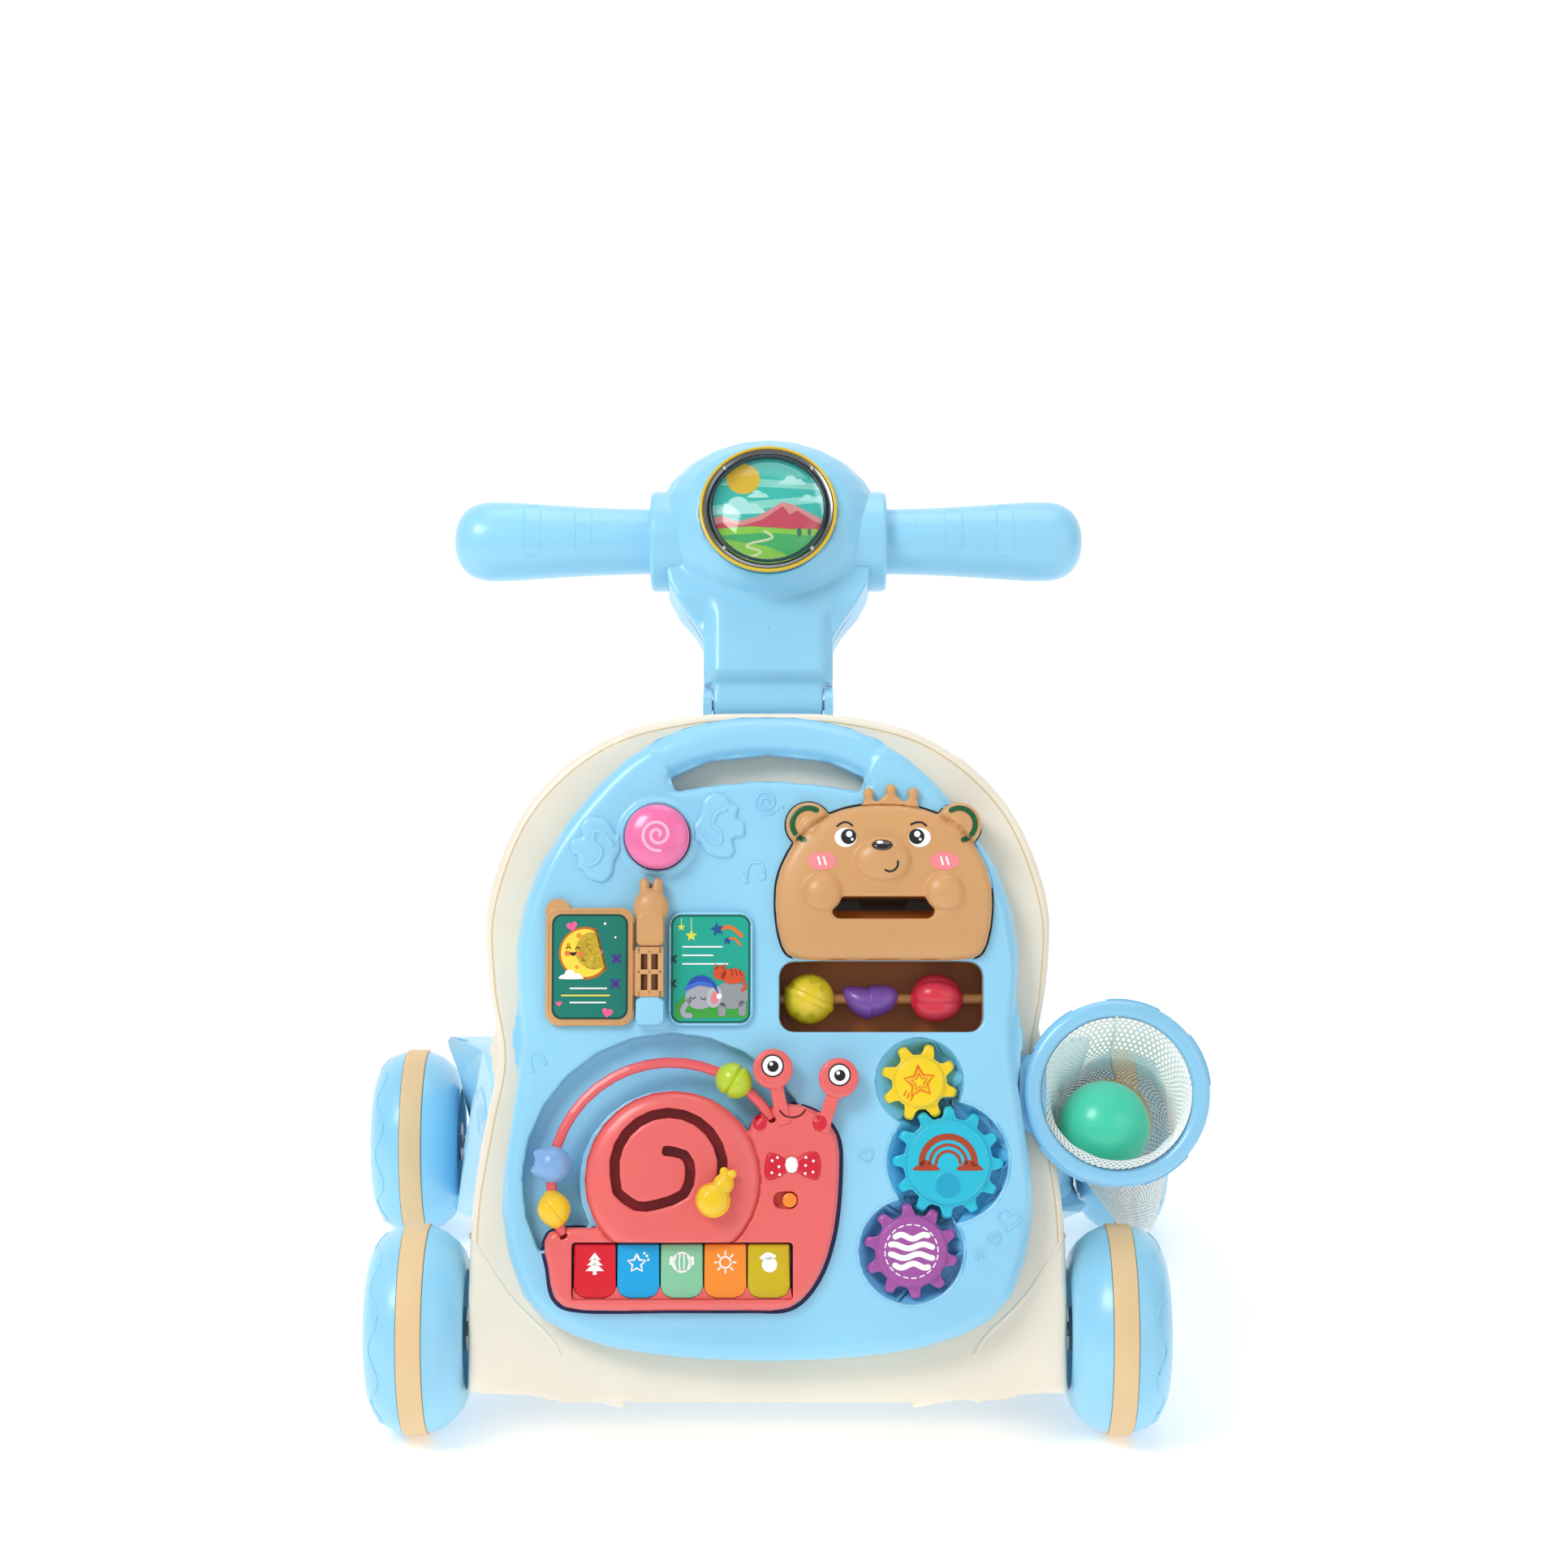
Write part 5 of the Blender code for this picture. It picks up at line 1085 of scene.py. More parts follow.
def make_left_picture(node, body, white):
    """Moon, cloud and hearts on the page that turns."""
    gold = printed("moon_edge", (196, 104, 24))
    yellow = printed("moon", (248, 220, 70))
    shade = printed("moon_shade", (232, 150, 30))
    pink = printed("pink", (244, 96, 150))
    violet = printed("violet", (74, 42, 150))
    dark = printed("dark_line", (70, 30, 14))
    pictures = (("moon_edge", [crescent((-98.0, 203.5), 14.2, 0.25)], gold, 0.26),
            ("moon", [crescent((-98.2, 203.6), 12.9, 0.25)], yellow, 0.34), ("moon_spots",
            [circle((-101.4, 213.0), 1.4, 14), circle((-107.0, 208.0), 1.1, 14), circle((-102.5, 196.0),
            1.0, 12)], shade, 0.42), ("moon_cheeks", [circle((-107.6, 203.4), 1.5, 14),
            circle((-100.6, 203.0), 1.5, 14)], printed("moon_cheek", (244, 120, 60)), 0.42), ("moon_eyes",
            [stroke(arc((-107.0, 205.6), 1.2, 20, 160, 8), 0.6), stroke(arc((-102.0, 205.4), 1.2, 20, 160,
            8), 0.6)], dark, 0.5), ("moon_mouth", [arc((-104.5, 204.0), 1.9, 180, 360, 12)], dark, 0.5),
            ("cloud", [cloud((-105.5, 189.5), 0.85)], white, 0.5), ("hearts", [heart((-105.2, 218.0), 3.0,
            0.2), heart((-90.2, 204.0), 1.6, -0.2), heart((-112.0, 176.4), 1.6, 0.1),
            heart((-86.0, 171.6), 2.9, -0.2)], pink, 0.3), ("lines", lines((-106, -110.5, -106),
            (-86.5, -85.0, -87.0), 184.6, 3.8), white, 0.3), ("middle_line", lines((-110.5,), (-85.0,),
            180.8, 3.8), printed("line_yellow", (246, 226, 90)), 0.38), ("stitches",
            cross_stitch((-81.2, 200.5), 1.7) + cross_stitch((-81.8, 187.2), 1.7), violet, 0.3),
            ("dots", [circle((-87.4, 219.4), 0.7, 10), circle((-81.8, 212.0), 0.6, 10)], white, 0.3),)
    for name, shapes, material, lift in pictures:
        laid("left_page_" + name, shapes, node, body, material, lift, step=4.0)


def make_right_picture(node, body, white):
    """Elephant, cat and stars on the page that stays."""
    pictures = (("hill", (60, 160, 60), [[(-49.6, 168.4), (-50, 176), (-44, 181.5), (-32, 184),
            (-20, 182), (-11, 186), (-10.6, 169)]], 0.26), ("threads", (220, 230, 150),
            [stroke([(-46.4, 222.4), (-46.4, 219)], 0.4), stroke([(-41, 222.4), (-41, 215)], 0.4)], 0.26),
            ("hanging_stars", (222, 226, 70), [star((-46.4, 217.6), 2.2, 1.0), star((-41, 213), 3.3,
            1.5)], 0.3), ("trails", (226, 120, 40),
            [stroke(smooth([(-27, 216.5), (-20, 217.5), (-14, 213)], 5, False), 2.2),
            stroke(smooth([(-22, 210.5), (-18, 211.5), (-14.5, 208)], 5, False), 1.4)], 0.3),
            ("falling_stars", (24, 78, 150), [star((-27, 216.4), 3.9, 1.8, 5, 100), star((-21.6, 210.2),
            2.4, 1.1, 5, 80)], 0.38), ("lines", (250, 250, 248), lines((-45.6, -45.6, -45.6),
            (-24.5, -29.5, -21.5), 207.0, 4.6), 0.3), ("stitches", (8, 70, 56),
            cross_stitch((-51.0, 200.5), 1.5) + cross_stitch((-51.2, 187.2), 1.5), 0.3), ("elephant_back",
            (150, 152, 160), [oval((-19.6, 181.0), 9.2, 7.4), rounded_box((-26.5, -22.5), (169.6, 177),
            1.5), rounded_box((-15.5, -11.6), (170, 178), 1.5)], 0.36), ("elephant_head", (168, 170, 178),
            [oval((-36.0, 180.4), 8.2, 7.0, 0.1), stroke(smooth([(-42, 178), (-45.4, 173.6),
            (-44.6, 170.4), (-41.6, 170.0)], 5, False), 2.8)], 0.44), ("elephant_ear", (186, 188, 196),
            [oval((-28.6, 180.0), 4.2, 5.8, -0.2)], 0.5), ("ear_inside", (232, 132, 140),
            [oval((-28.2, 179.6), 2.2, 3.6, -0.2)], 0.56), ("nightcap", (34, 76, 178),
            [smooth([(-43.0, 184.6), (-41, 189.6), (-34.6, 191.6), (-28.6, 188.0), (-26.2, 181.6),
            (-28.6, 184.6), (-31.4, 186.0), (-36.6, 187.4)], 4)], 0.56), ("cap_band", (60, 110, 210),
            [stroke(smooth([(-43.4, 184.6), (-37, 187.2), (-30.6, 186.2)], 5, False), 2.2)], 0.62),
            ("pompom", (250, 250, 250), [circle((-26.0, 180.4), 1.5, 14)], 0.66),
            ("eyelids", (60, 60, 70), [stroke(arc((-40.2, 180.6), 1.5, 200, 340, 8), 0.5),
            stroke(arc((-34.4, 180.2), 1.5, 200, 340, 8), 0.5)], 0.62), ("cat", (216, 78, 40),
            [oval((-18.6, 191.2), 6.4, 4.2), circle((-25.6, 192.8), 3.6, 24), [(-28.6, 194.4),
            (-28.2, 198.0), (-25.8, 196.0)], [(-25.4, 196.0), (-22.8, 198.0), (-22.6, 194.4)],
            stroke(smooth([(-13, 189), (-11.8, 185.6), (-13.6, 183.6)], 5, False), 1.6)], 0.6),
            ("cat_stripes", (150, 44, 24), [stroke([(-19.6 + 2.4 * i, 195.0 - 0.4 * i), (-18.8 + 2.4 * i,
            191.8)], 0.7) for i in range(3)], 0.68),)
    for name, colour, shapes, lift in pictures:
        laid("right_page_" + name, shapes, node, body, printed("book_" + name, colour), lift, step=4.0)


def make_spine():
    """The spine: a rabbit cap over a window lattice, with its light blue foot."""
    rabbit = [add_ball((-62.6, 228, 63.5), (9.6, 9.8, 6.6)), add_ball((-66.0, 237.6, 63.0),
            (2.6, 6.6, 2.6)), add_ball((-59.4, 237.6, 63.0), (2.6, 6.6, 2.6))]

    def add_body(bm):
        add_prism(bm, rounded_box((-69.8, -55.8), (206.8, 224), 3), 57, 69)
    resurface("rabbit_skin", ["rabbit_cap"], TAN, voxel=0.6, adds=rabbit + [add_body], relax=5)
    foot = bmesh.new()
    add_prism(foot, rounded_box((-70.2, -55.8), (165.0, 179.6), 2.2), 56.6, 69.6, 2.0)
    foot_piece = piece_from("spine_foot", foot, PANEL, "board", BLUE)
    bars = bmesh.new()
    for low_x, high_x, low_y, high_y in ((-70.6, -67.6, 179.8, 206.4), (-58.6, -55.6, 179.8, 206.4),
                                         (-64.2, -62.0, 181, 205), (-70, -56, 179.8, 183.4),
                                         (-70, -56, 191.8, 194.4), (-70, -56, 202.6, 206.4)):
        add_prism(bars, rounded_box((low_x, high_x), (low_y, high_y), 0.8, 3), 66.5, 70.3, 0.6)
    piece_from("spine_lattice", bars, PANEL, "book_page_turning_body", TAN)
    laid("lattice_shade", [rounded_box((-68.6, -57.6), (182, 204), 1)], "book_page_turning",
         "book_page_turning_body", printed("lattice_dark", (96, 52, 20)), 0.15, step=2.0)


# ---------------------------------------------------------------- candy button
def make_button():
    """The candy button and the curl on it."""
    soften_edges(frame["nodes"]["candy_button"], 0.4)
    dome = turned("candy_dome", [(17.3, 62), (17.4, 64.0), (16.9, 65.6), (15, 67.2), (11.5, 68.8),
            (7, 69.8), (0, 70.2)], PANEL, "candy_button_body", moulded("candy_pink", (246, 120, 178),
            0.22, 0.5, 0.01, 700, 0.15), 72, centre=(*BUTTON_CENTRE, 0))
    SKINS["candy_dome"] = dome_skin(dome)
    curl = spiral((BUTTON_CENTRE[0] + 0.4, BUTTON_CENTRE[1] + 0.6), 8.8, 1.2, -1.85, radians(-80))
    laid("candy_curl", [stroke(curl, 1.7)], "candy_dome", "candy_button_body", printed("candy_pale",
            (252, 186, 214)), 0.1, step=1.2)


def dome_skin(piece, matrix=PANEL):
    """The surface of a piece, for laying prints on."""
    back = (matrix @ Matrix.Scale(MM, 4)).inverted()
    return BVHTree.FromPolygons([back @ (piece.matrix_world @ v.co) for v in piece.data.vertices],
            [tuple(p.vertices) for p in piece.data.polygons])


# ---------------------------------------------------------------- gears
def gear_shaper(centre, body_radius):
    """Returns a step that rounds each tooth into a peg and the body's rim into a soft disc."""
    def shape(points):
        away = np.hypot(points[:, 0] - centre[0], points[:, 1] - centre[1])
        tip = away.max()
        outside_body = away > body_radius + 0.2
        end = rounded(np.clip(tip + 0.2 - away, 0, 9), 3.0)
        high = points[:, 2] > 52
        points[:, 2] -= np.where(high & outside_body, 1.4 + end, 0) * np.clip((points[:, 2] - 52) / 3, 0, 1)
        low_end = (points[:, 2] < 50) & outside_body
        points[low_end, 2] += end[low_end] * 0.7
        rim = rounded(np.clip(body_radius - away, 0, 9), 2.6)
        on_body = (points[:, 2] > 57.8) & ~outside_body
        points[on_body, 2] -= rim[on_body]
        return points
    return shape


def make_gears():
    """The three gears and the print on each."""
    gears = (("cyan", (96.8, 91.6), 23.0, (34, 192, 220)), ("yellow", (81.6, 134.5), 13.9,
            (248, 212, 20)), ("purple", (77.0, 44.3), 19.2, (166, 80, 164)))
    for name, centre, body_radius, colour in gears:
        material = moulded("gear_" + name, colour, 0.24, 0.35, 0.015, 800.0, 0.08)
        resurface(name + "_skin", ["gear_" + name], material, voxel=0.55, shape=gear_shaper(centre,
                body_radius), adds=[add_disc(centre, body_radius, 50, 58.8)], relax=7)
        rim = circle(centre, body_radius - 1.2, 64)
        laid(name + "_rim", [stroke(rim + rim[:1], 1.4)], name + "_skin", "gear_%s_body" % name, material,
             -0.05, 0.6, 0.6, 1.2)
        wall = circle(centre, {"cyan": 34.0, "yellow": 23.6, "purple": 29.6}[name], 80)
        # Painted shade: a darker blue disc over each gear well's floor stands for the shade in the recess.
        floor = printed("well_floor_shade", (104, 192, 238))
        laid(name + "_well_floor_shade", [wall], "activity_board", "board", floor, 0.08, step=12.0)
    x, y = 81.6, 134.5
    shape = star((x, y), 8.4, 4.2, 5, 96)
    inner = star((x, y), 4.6, 2.3, 5, 96)
    laid("star_print", [stroke(shape + shape[:1], 1.3), stroke(inner + inner[:1], 0.8)]
         + [stroke([(x - 8.4 + k, y - 7.4 - 0.7 * k), (x - 7.2 + k, y - 4.8 - 0.7 * k)], 0.8) for k in (0,
            1.8, 3.6)], "yellow_skin", "gear_yellow_body", printed("star_orange", (240, 122, 20)), 0.15,
         step=2.0)
    x, y = 96.8, 91.6
    bands = [stroke(arc((x, y - 0.5), radius, 0, 180, 24), width) for radius, width in ((14.2, 3.4),
            (9.8, 1.6), (6.4, 1.6))]
    laid("rainbow_print", bands + [cloud((x - 11.6, y - 4.4), 0.92), cloud((x + 11.6, y - 4.4), 0.92)],
         "cyan_skin", "gear_cyan_body", printed("rust", (172, 66, 34)), 0.15, step=2.0)
    dimple = circle((x, y - 12.4), 7.0, 36)
    laid("finger_dimple", [stroke(dimple + dimple[:1], 1.0)], "cyan_skin", "gear_cyan_body",
         moulded("gear_cyan", (34, 192, 220)), -0.05, 0.5, 0.5, 1.0)
    # Painted shade: a darker cyan disc inside the dimple's ring stands for the shade of the hollow.
    laid("finger_dimple_floor", [circle((x, y - 12.4), 6.6, 36)], "cyan_skin", "gear_cyan_body",
         printed("cyan_shade", (24, 166, 206)), 0.1, step=3.0)
    x, y = 77.0, 44.3
    waves = []
    for k in range(4):
        level = y + 7.8 - 5.1 * k
        reach = sqrt(max(12.4 ** 2 - (level - y) ** 2, 4.0)) - 1.0
        path = [(x - reach + 2 * reach * i / 20, level + 1.1 * sin(i / 20 * 2 * pi * 1.4
                + k)) for i in range(21)]
        waves.append(stroke(path, 3.1))
    dashes = [stroke(arc((x, y), 14.2, a, a + 10, 4), 0.7) for a in range(0, 360, 18)]
    laid("wave_print", waves + dashes, "purple_skin", "gear_purple_body", printed("white",
            (250, 250, 248)), 0.15, step=2.5)


# ---------------------------------------------------------------- beads, knob and switch
WIRE_CENTRE = Vector((-51.8, 81.1))
WIRE_RADIUS = 63.8
WIRE_HEIGHT = 60.0


def on_wire(degrees):
    """A local frame at a place on the wire arch: x along the wire, y outwards, z out of the board."""
    a = radians(degrees)
    out = Vector((cos(a), sin(a), 0))
    along_wire = Vector((-sin(a), cos(a), 0))
    place = Vector((WIRE_CENTRE.x + WIRE_RADIUS * cos(a), WIRE_CENTRE.y + WIRE_RADIUS * sin(a),
            WIRE_HEIGHT))
    basis = Matrix((along_wire, out, Vector((0, 0, 1)))).transposed().to_4x4()
    return PANEL @ Matrix.Translation(place * MM) @ basis


def make_wire_beads():
    """The apple, bird and nut on the wire arch."""
    def apple(place, unit):
        """Two plump halves with a groove between them."""
        groove = 1 - 0.16 * max(0.0, 1 - abs(unit.x) / 0.16) - 0.1 * max(0.0, abs(unit.x) - 0.7)
        return Vector((place.x, place.y * groove, place.z * groove))

    def bird(place, unit):
        """A round body with two small crests."""
        crest = 2.6 * max(0.0, 1 - (Vector((unit.x - 0.5, unit.y - 0.75, unit.z)).length / 0.42))
        crest += 2.6 * max(0.0, 1 - (Vector((unit.x + 0.5, unit.y - 0.75, unit.z)).length / 0.42))
        return place + Vector((0, crest * 1.4, 0))

    def nut(place, unit):
        """A seed that runs to a soft point at both ends, with a slit across."""
        taper = 1 - 0.42 * abs(unit.x) ** 2.2
        slit = 1 - 0.1 * max(0.0, 1 - abs(unit.y * 0.8 + unit.x * 0.6) / 0.1)
        return Vector((place.x * 1.05, place.y * taper * slit, place.z * taper * slit))

    looks = (("green", 58.0, (10.3, 9.4, 9.4), apple, (186, 212, 44)), ("blue", 171.5, (10.0, 9.8, 10.2),
            bird, (130, 176, 228)), ("yellow", 193.0, (10.5, 8.9, 9.0), nut, (250, 204, 24)))
    for name, degrees, radii, shape, colour in looks:
        node = "arch_bead_" + name
        bead = blob(node + "_skin", (0, 0, 0), radii, on_wire(degrees), BODY_OF[node], moulded(node,
                colour, 0.28, 0.3, 0.015), shape, 72)
        stands_for(bead, node)


def make_window_beads():
    """The three beads on the rod in the window."""
    def bell(place, unit):
        """A round bell with a raised slanting band and a few shallow dimples."""
        slant = unit.y * 0.9 + unit.x * 0.42
        band = 0.055 * (1 if abs(slant) < 0.1 else max(0.0, 1 - (abs(slant) - 0.1) / 0.05))
        dents = 0.0
        for dx, dy in ((0.2, 0.72), (0.62, 0.42), (-0.5, -0.72), (0.1, -0.78), (-0.72, 0.5)):
            away = hypot(unit.x - dx, unit.y - dy)
            dents += 0.05 * max(0.0, 1 - (away / 0.17) ** 4) * (unit.z > 0)
        return place * (0.965 + band - dents)

    def bean(place, unit):
        """A kidney bean: thick ends bent round a hollow upper side."""
        bend_up = 6.2 * unit.x ** 2 - 2.6
        thin = 1 - 0.1 * (1 - unit.x ** 2)
        return Vector((place.x * 1.0, place.y * thin * 0.84 + bend_up * (1.0 if unit.x < 0 else 0.45),
                place.z * thin))

    def star_fruit(place, unit):
        """Five soft ridges that run along the rod."""
        turn = atan2(unit.z, unit.y)
        ridge = 0.86 + 0.16 * abs(cos(2.5 * turn)) ** 0.8
        flat_end = 1 + 0.12 * (abs(unit.x) < 0.8) - 0.1 * unit.x
        return Vector((place.x * 0.98, place.y * ridge * flat_end, place.z * ridge * flat_end))

    looks = (("bead_bell", bell, 1.0, (236, 208, 36)), ("bead_bean", bean, 0.92, (124, 78, 170)),
            ("bead_star", star_fruit, 0.97, (224, 40, 64)))
    for node, shape, share, colour in looks:
        corners = [PANEL.inverted() @ frame["nodes"][node].data.vertices[i].co
                   for i in range(len(frame["nodes"][node].data.vertices))]
        low = [min(c[i] for c in corners) / MM for i in range(3)]
        high = [max(c[i] for c in corners) / MM for i in range(3)]
        centre = [(a + b) / 2 for a, b in zip(low, high)]
        radii = [(b - a) / 2 * share for a, b in zip(low, high)]
        bead = blob(node + "_skin", centre, radii, PANEL, BODY_OF[node], moulded(node, colour, 0.24, 0.35,
                0.015), shape, 96)
        stands_for(bead, node)


def make_knob():
    """The yellow maze knob: a ball on a smaller ball with a little crown, all one moulding."""
    extra = [add_ball((-18.6, 85.6, 70.5), (2.4, 2.4, 2.4)), add_ball((-23.0, 87.0, 70.5),
            (2.4, 2.4, 2.4)), add_ball((-28.7, 71.6, 71.4), (9.3, 9.3, 7.2)),
            add_ball((-23.2, 80.4, 71.0), (5.6, 5.6, 4.8))]
    resurface("knob_skin", ["maze_knob"], YELLOW, voxel=0.5, adds=extra, relax=6)


# ---------------------------------------------------------------- rear legs
def make_legs():
    """Rear legs with soft edges and the swirls on their outer faces."""
    for side, sign in (("left", -1), ("right", 1)):
        node = "rear_leg_" + side
        soften_edges(frame["nodes"][node], 1.2)
        low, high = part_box(node)
        swirls = (((-62, 150), 17.0, 1.6, 0.4), ((6, 128), 13.0, 1.5, 2.0), ((62, 92), 11.0, 1.4, 3.5),
                ((-70, 112), 9.0, 1.3, 5.0))
        paths = [spiral(centre, size, size * 0.14, turns, start, 44) for centre, size, turns,
                start in swirls]
        side_frame = Matrix(((0, 0, sign), (1, 0, 0), (0, 1, 0))).to_4x4()
        laid("leg_swirls_" + side, [stroke(path, 3.0) for path in paths], node, "frame", BLUE, -0.05, 1.0,
             1.5, 2.0, side_frame, 400.0)


# ---------------------------------------------------------------- looks of the carried-over CAD nodes
PAINTS = {BLUE: ("neck_base", "rear_leg_left", "rear_leg_right", "rear_cross", "neck", "head_front",
        "head_back", "activity_board", "back_cover", "battery_lid", "wheel_front_left",
        "wheel_front_right", "wheel_rear_left", "wheel_rear_right", "grip_left", "grip_right",
        "book_page_fixed", "wheel_rear_right"), BLUE_DEEP: ("basket_ring",), CREAM: ("front_shell",
        "shell_back"), TYRE: ("tyre_front_left", "tyre_front_right", "tyre_rear_left", "tyre_rear_right"),
        TAN: ("bear_face", "book_page_turning", "spine_pin"), CORAL: ("snail_body",), BROWN: ("bead_box",
        ), YELLOW: ("maze_knob",), steel(): ("front_axle", "neck_pin", "rear_axle_left",
        "rear_axle_right"),}


def dress_frame():
    """Materials of the CAD nodes."""
    for material, nodes in PAINTS.items():
        for node in nodes:
            paint(node, material)
    for node, colour in COLOURS.items():
        paint(node, moulded(node, colour))
    paint("lens_dome", clear())
    paint("basket_net", NET)


# ---------------------------------------------------------------- basket
RING_CENTRE = (189.0, 128.5)


def net_cloth():
    """White knitted net: rows of round holes, set out by the UV map in millimetres."""
    material = moulded("net_cloth", (238, 244, 243), 0.8, 0.0, 0.1, 1500.0, 0.1, 0.03)
    nodes = material.node_tree.nodes
    links = material.node_tree.links
    place = nodes.new("ShaderNodeTexCoord")
    cells = []
    for shift in (0.0, 0.5):
        lattice = nodes.new("ShaderNodeMapping")
        lattice.inputs["Scale"].default_value = (1 / 3.1, 1 / 4.6, 1.0)
        lattice.inputs["Location"].default_value = (shift, shift, 0.0)
        links.new(place.outputs["UV"], lattice.inputs["Vector"])
        part = nodes.new("ShaderNodeVectorMath")
        part.operation = "FRACTION"
        links.new(lattice.outputs["Vector"], part.inputs[0])
        centred = nodes.new("ShaderNodeVectorMath")
        centred.operation = "SUBTRACT"
        centred.inputs[1].default_value = (0.5, 0.5, 0.0)
        links.new(part.outputs["Vector"], centred.inputs[0])
        sized = nodes.new("ShaderNodeVectorMath")
        sized.operation = "MULTIPLY"
        sized.inputs[1].default_value = (3.1, 4.6, 0.0)
        links.new(centred.outputs["Vector"], sized.inputs[0])
        length = nodes.new("ShaderNodeVectorMath")
        length.operation = "LENGTH"
        links.new(sized.outputs["Vector"], length.inputs[0])
        cells.append(length.outputs["Value"])
    nearest = nodes.new("ShaderNodeMath")
    nearest.operation = "MINIMUM"
    links.new(cells[0], nearest.inputs[0])
    links.new(cells[1], nearest.inputs[1])
    solid = nodes.new("ShaderNodeMapRange")
    solid.inputs["From Min"].default_value = 0.68
    solid.inputs["From Max"].default_value = 0.84
    links.new(nearest.outputs["Value"], solid.inputs["Value"])
    links.new(solid.outputs["Result"], nodes["Principled BSDF"].inputs["Alpha"])
    return material


def bag_rows():
    """Cross sections of the hung bag: middle and half width."""
    route = [(0, 0, 43.5), (0, -0.3, 40), (0.6, -3.2, 30), (0.8, -12.5, 12), (2.5, -16.5, -12),
            (6, -19.5, -37), (10, -27.5, -56), (16, -46.5, -69), (21, -66.5, -76), (24, -78.5, -79)]
    widths = [41.6, 41.2, 37.2, 35.2, 34.8, 33.4, 30.5, 23.6, 14.6, 7.4]
    rows = [(*place, width) for place, width in zip(route, widths)]
    return smooth(rows, 7, False)


def make_net():
    """The hung net bag as one sheet, with its seam and the gathered toe."""
    rows = bag_rows()
    sides = 96
    bm = bmesh.new()
    uv_layer = bm.loops.layers.uv.new("net")
    grid = []
    run = 0.0
    for i, (x, y, z, width) in enumerate(rows):
        before = Vector(rows[max(i - 1, 0)][:3])
        after = Vector(rows[min(i + 1, len(rows) - 1)][:3])
        heading = (after - before).normalized()
        across = heading.cross(Vector((0, 1, 0))).normalized()
        up = across.cross(heading)
        middle = Vector((RING_CENTRE[0] + x, RING_CENTRE[1] + y, z))
        if i:
            run += (middle - last_middle).length
        last_middle = middle
        depth = min(max(i - 6, 0) / 14, 1.0) * (1.0 - 0.55 * i / len(rows))
        ring = []
        for k in range(sides + 1):
            a = 2 * pi * k / sides
            fold = depth * (1.0 * sin(5 * a + 1.3 + 0.05 * i) + 0.7 * sin(9 * a - 0.08 * i)
                    + 0.5 * sin(3 * a + 0.1 * i))
            reach = width - 0.7 - 0.6 * abs(fold) + 0.35 * fold
            ring.append((middle + across * reach * cos(a) + up * reach * sin(a), (k / sides * 232.0, run)))
        grid.append(ring)
    verts = [[bm.verts.new(ring[k][0]) for k in range(sides)] for ring in grid]
    for i in range(len(grid) - 1):
        for k in range(sides):
            j = (k + 1) % sides
            face = bm.faces.new((verts[i][k], verts[i][j], verts[i + 1][j], verts[i + 1][k]))
            places = (grid[i][k][1], grid[i][k + 1][1], grid[i + 1][k + 1][1], grid[i + 1][k][1])
            for loop, place in zip(face.loops, places):
                loop[uv_layer].uv = place
    toe = bm.faces.new(verts[-1])
    for loop in toe.loops:
        loop[uv_layer].uv = (1.55, 2.3)
    bag = piece_from("net_bag", bm, PANEL, "frame", net_cloth(), 180)
    stands_for(bag, "basket_net")
    seam_path = [tuple(grid[i][24][0] * 1.0) for i in range(len(grid))]
    seam = tube("net_seam", seam_path, 0.9, PANEL, "frame", NET, 8)


def make_ring():
    """The two-part ring: a round band, its clamping hoop with tabs, and the foot on the shell."""
    profile = [(41, 37), (41.2, 35.6), (42.4, 34.6), (48, 34.4), (50, 35.4), (50.5, 37), (50.5, 42),
            (49.9, 44.4), (48, 46), (45.6, 46.4), (43.2, 46), (41.5, 44.6), (41, 42.6)]
    hoop = turned("ring_skin", profile, PANEL, "frame", BLUE_DEEP, 128, closed=True, centre=(*RING_CENTRE,
            0))
    stands_for(hoop, "basket_ring")
    foot = bmesh.new()
    add_prism(foot, rounded_box((136.5, 151), (RING_CENTRE[1] - 21, RING_CENTRE[1] + 21), 5), 33.8, 41.5,
            2.0)
    piece_from("ring_foot", foot, PANEL, "frame", BLUE_DEEP)
    for number, start in enumerate((-75, 5, 62, 118, 215)):
        span = 34
        inner = arc(RING_CENTRE, 48.6, start, start + span, 20)
        outer = arc(RING_CENTRE, 51.2, start + span, start, 20)
        tab = bmesh.new()
        add_prism(tab, inner + outer, 36.5, 42.5, 0.6)
        piece_from("ring_tab_%d" % number, tab, PANEL, "frame", BLUE_DEEP)


def make_balls():
    """Soft play balls with a faint mould line."""
    looks = (("ball_green", (184.5, 110.5, 12), 25.3, (66, 212, 176)), ("ball_tan", (191.5, 113, -38),
            24.5, (208, 184, 124)))
    for name, centre, radius, colour in looks:
        material = moulded(name, colour, 0.42, 0.1, 0.03, 700.0, 0.2, 0.04)

        def mould_line(place, unit):
            return place * (1 + 0.004 * max(0.0, 1 - abs(unit.y) / 0.02))
        ball = blob(name + "_skin", centre, (radius,) * 3, PANEL, BODY_OF[name], material, mould_line, 96)
        stands_for(ball, name)


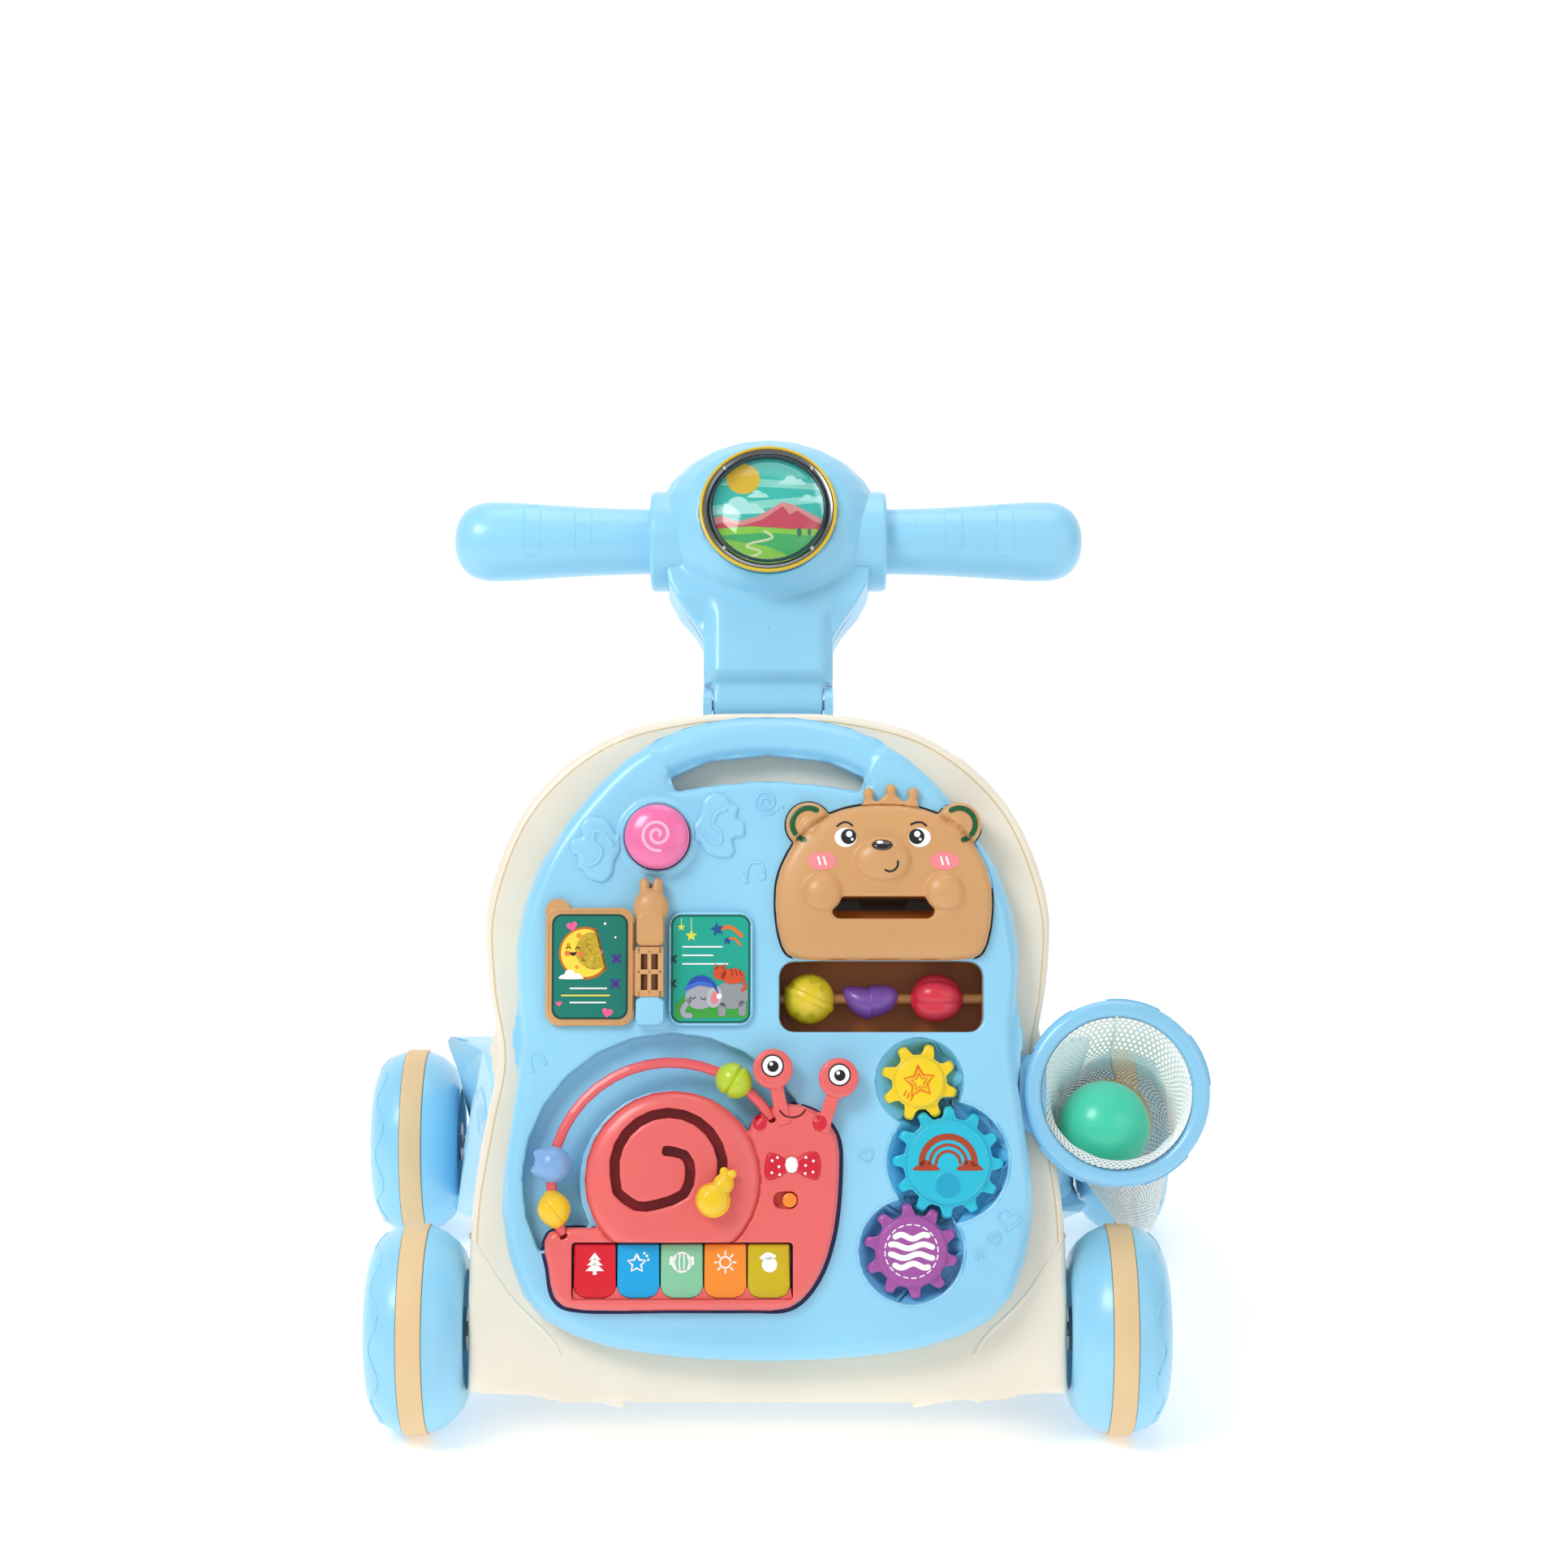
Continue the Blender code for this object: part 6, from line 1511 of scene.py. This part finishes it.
# ---------------------------------------------------------------- stage
def make_stage():
    """Floor, lights and camera."""
    mesh = bpy.data.meshes.new("floor")
    bm = bmesh.new()
    sweep = [(-4.0, 0.0), (1.6, 0.0)] + [(1.6 + 1.2 * sin(a), 1.2 - 1.2 * cos(a)) for a in (0.25, 0.5,
            0.75, 1.0, 1.25, 1.5)] + [(2.85, 4.0)]
    rows = [[bm.verts.new((x, y, z)) for x in (-5.0, 5.0)] for y, z in sweep]
    for near, far in zip(rows, rows[1:]):
        bm.faces.new((near[0], near[1], far[1], far[0]))
    bm.to_mesh(mesh)
    bm.free()
    mesh.shade_smooth()
    floor = bpy.data.objects.new("floor", mesh)
    bpy.context.scene.collection.objects.link(floor)
    white = moulded("studio_floor", (250, 250, 250), 0.6, 0.0, 0.0, 200.0, 0.0, 0.0)
    white.node_tree.nodes["Principled BSDF"].inputs["Emission Color"].default_value = (1, 1, 1, 1)
    white.node_tree.nodes["Principled BSDF"].inputs["Emission Strength"].default_value = 0.3
    mesh.materials.append(white)
    world = bpy.data.worlds.new("studio")
    world.use_nodes = True
    world.node_tree.nodes["Background"].inputs["Color"].default_value = (1, 1, 1, 1)
    world.node_tree.nodes["Background"].inputs["Strength"].default_value = 0.45
    bpy.context.scene.world = world
    lamps = (("key", (-1.5, -1.5, 2.4), 1.1, 40.0), ("fill", (1.9, -1.6, 1.2), 1.8, 9.0),
            ("top", (0.2, 0.5, 2.6), 1.6, 14.0))
    for name, place, size, power in lamps:
        light = bpy.data.lights.new(name, "AREA")
        light.size = size
        light.energy = power
        lamp = bpy.data.objects.new(name, light)
        bpy.context.scene.collection.objects.link(lamp)
        lamp.location = place
        lamp.rotation_euler = (Vector((0, 0, 0.25)) - Vector(place)).to_track_quat("-Z", "Y").to_euler()
    camera_data = bpy.data.cameras.new("photo_camera")
    camera_data.lens = 81.5
    camera_data.sensor_width = 36.0
    camera = bpy.data.objects.new("photo_camera", camera_data)
    bpy.context.scene.collection.objects.link(camera)
    camera.location = (0.0089, -1.959, 0.8386)
    camera.rotation_euler = (radians(75.4), 0, 0)
    bpy.context.scene.camera = camera
    bpy.context.scene.view_settings.view_transform = "Standard"


dress_frame()
make_board()
make_shell()
make_bear()
make_snail()
make_handle()
make_wheels()
make_net()
make_ring()
make_balls()
make_book()
make_button()
make_gears()
make_wire_beads()
make_window_beads()
make_knob()
make_legs()
make_stage()
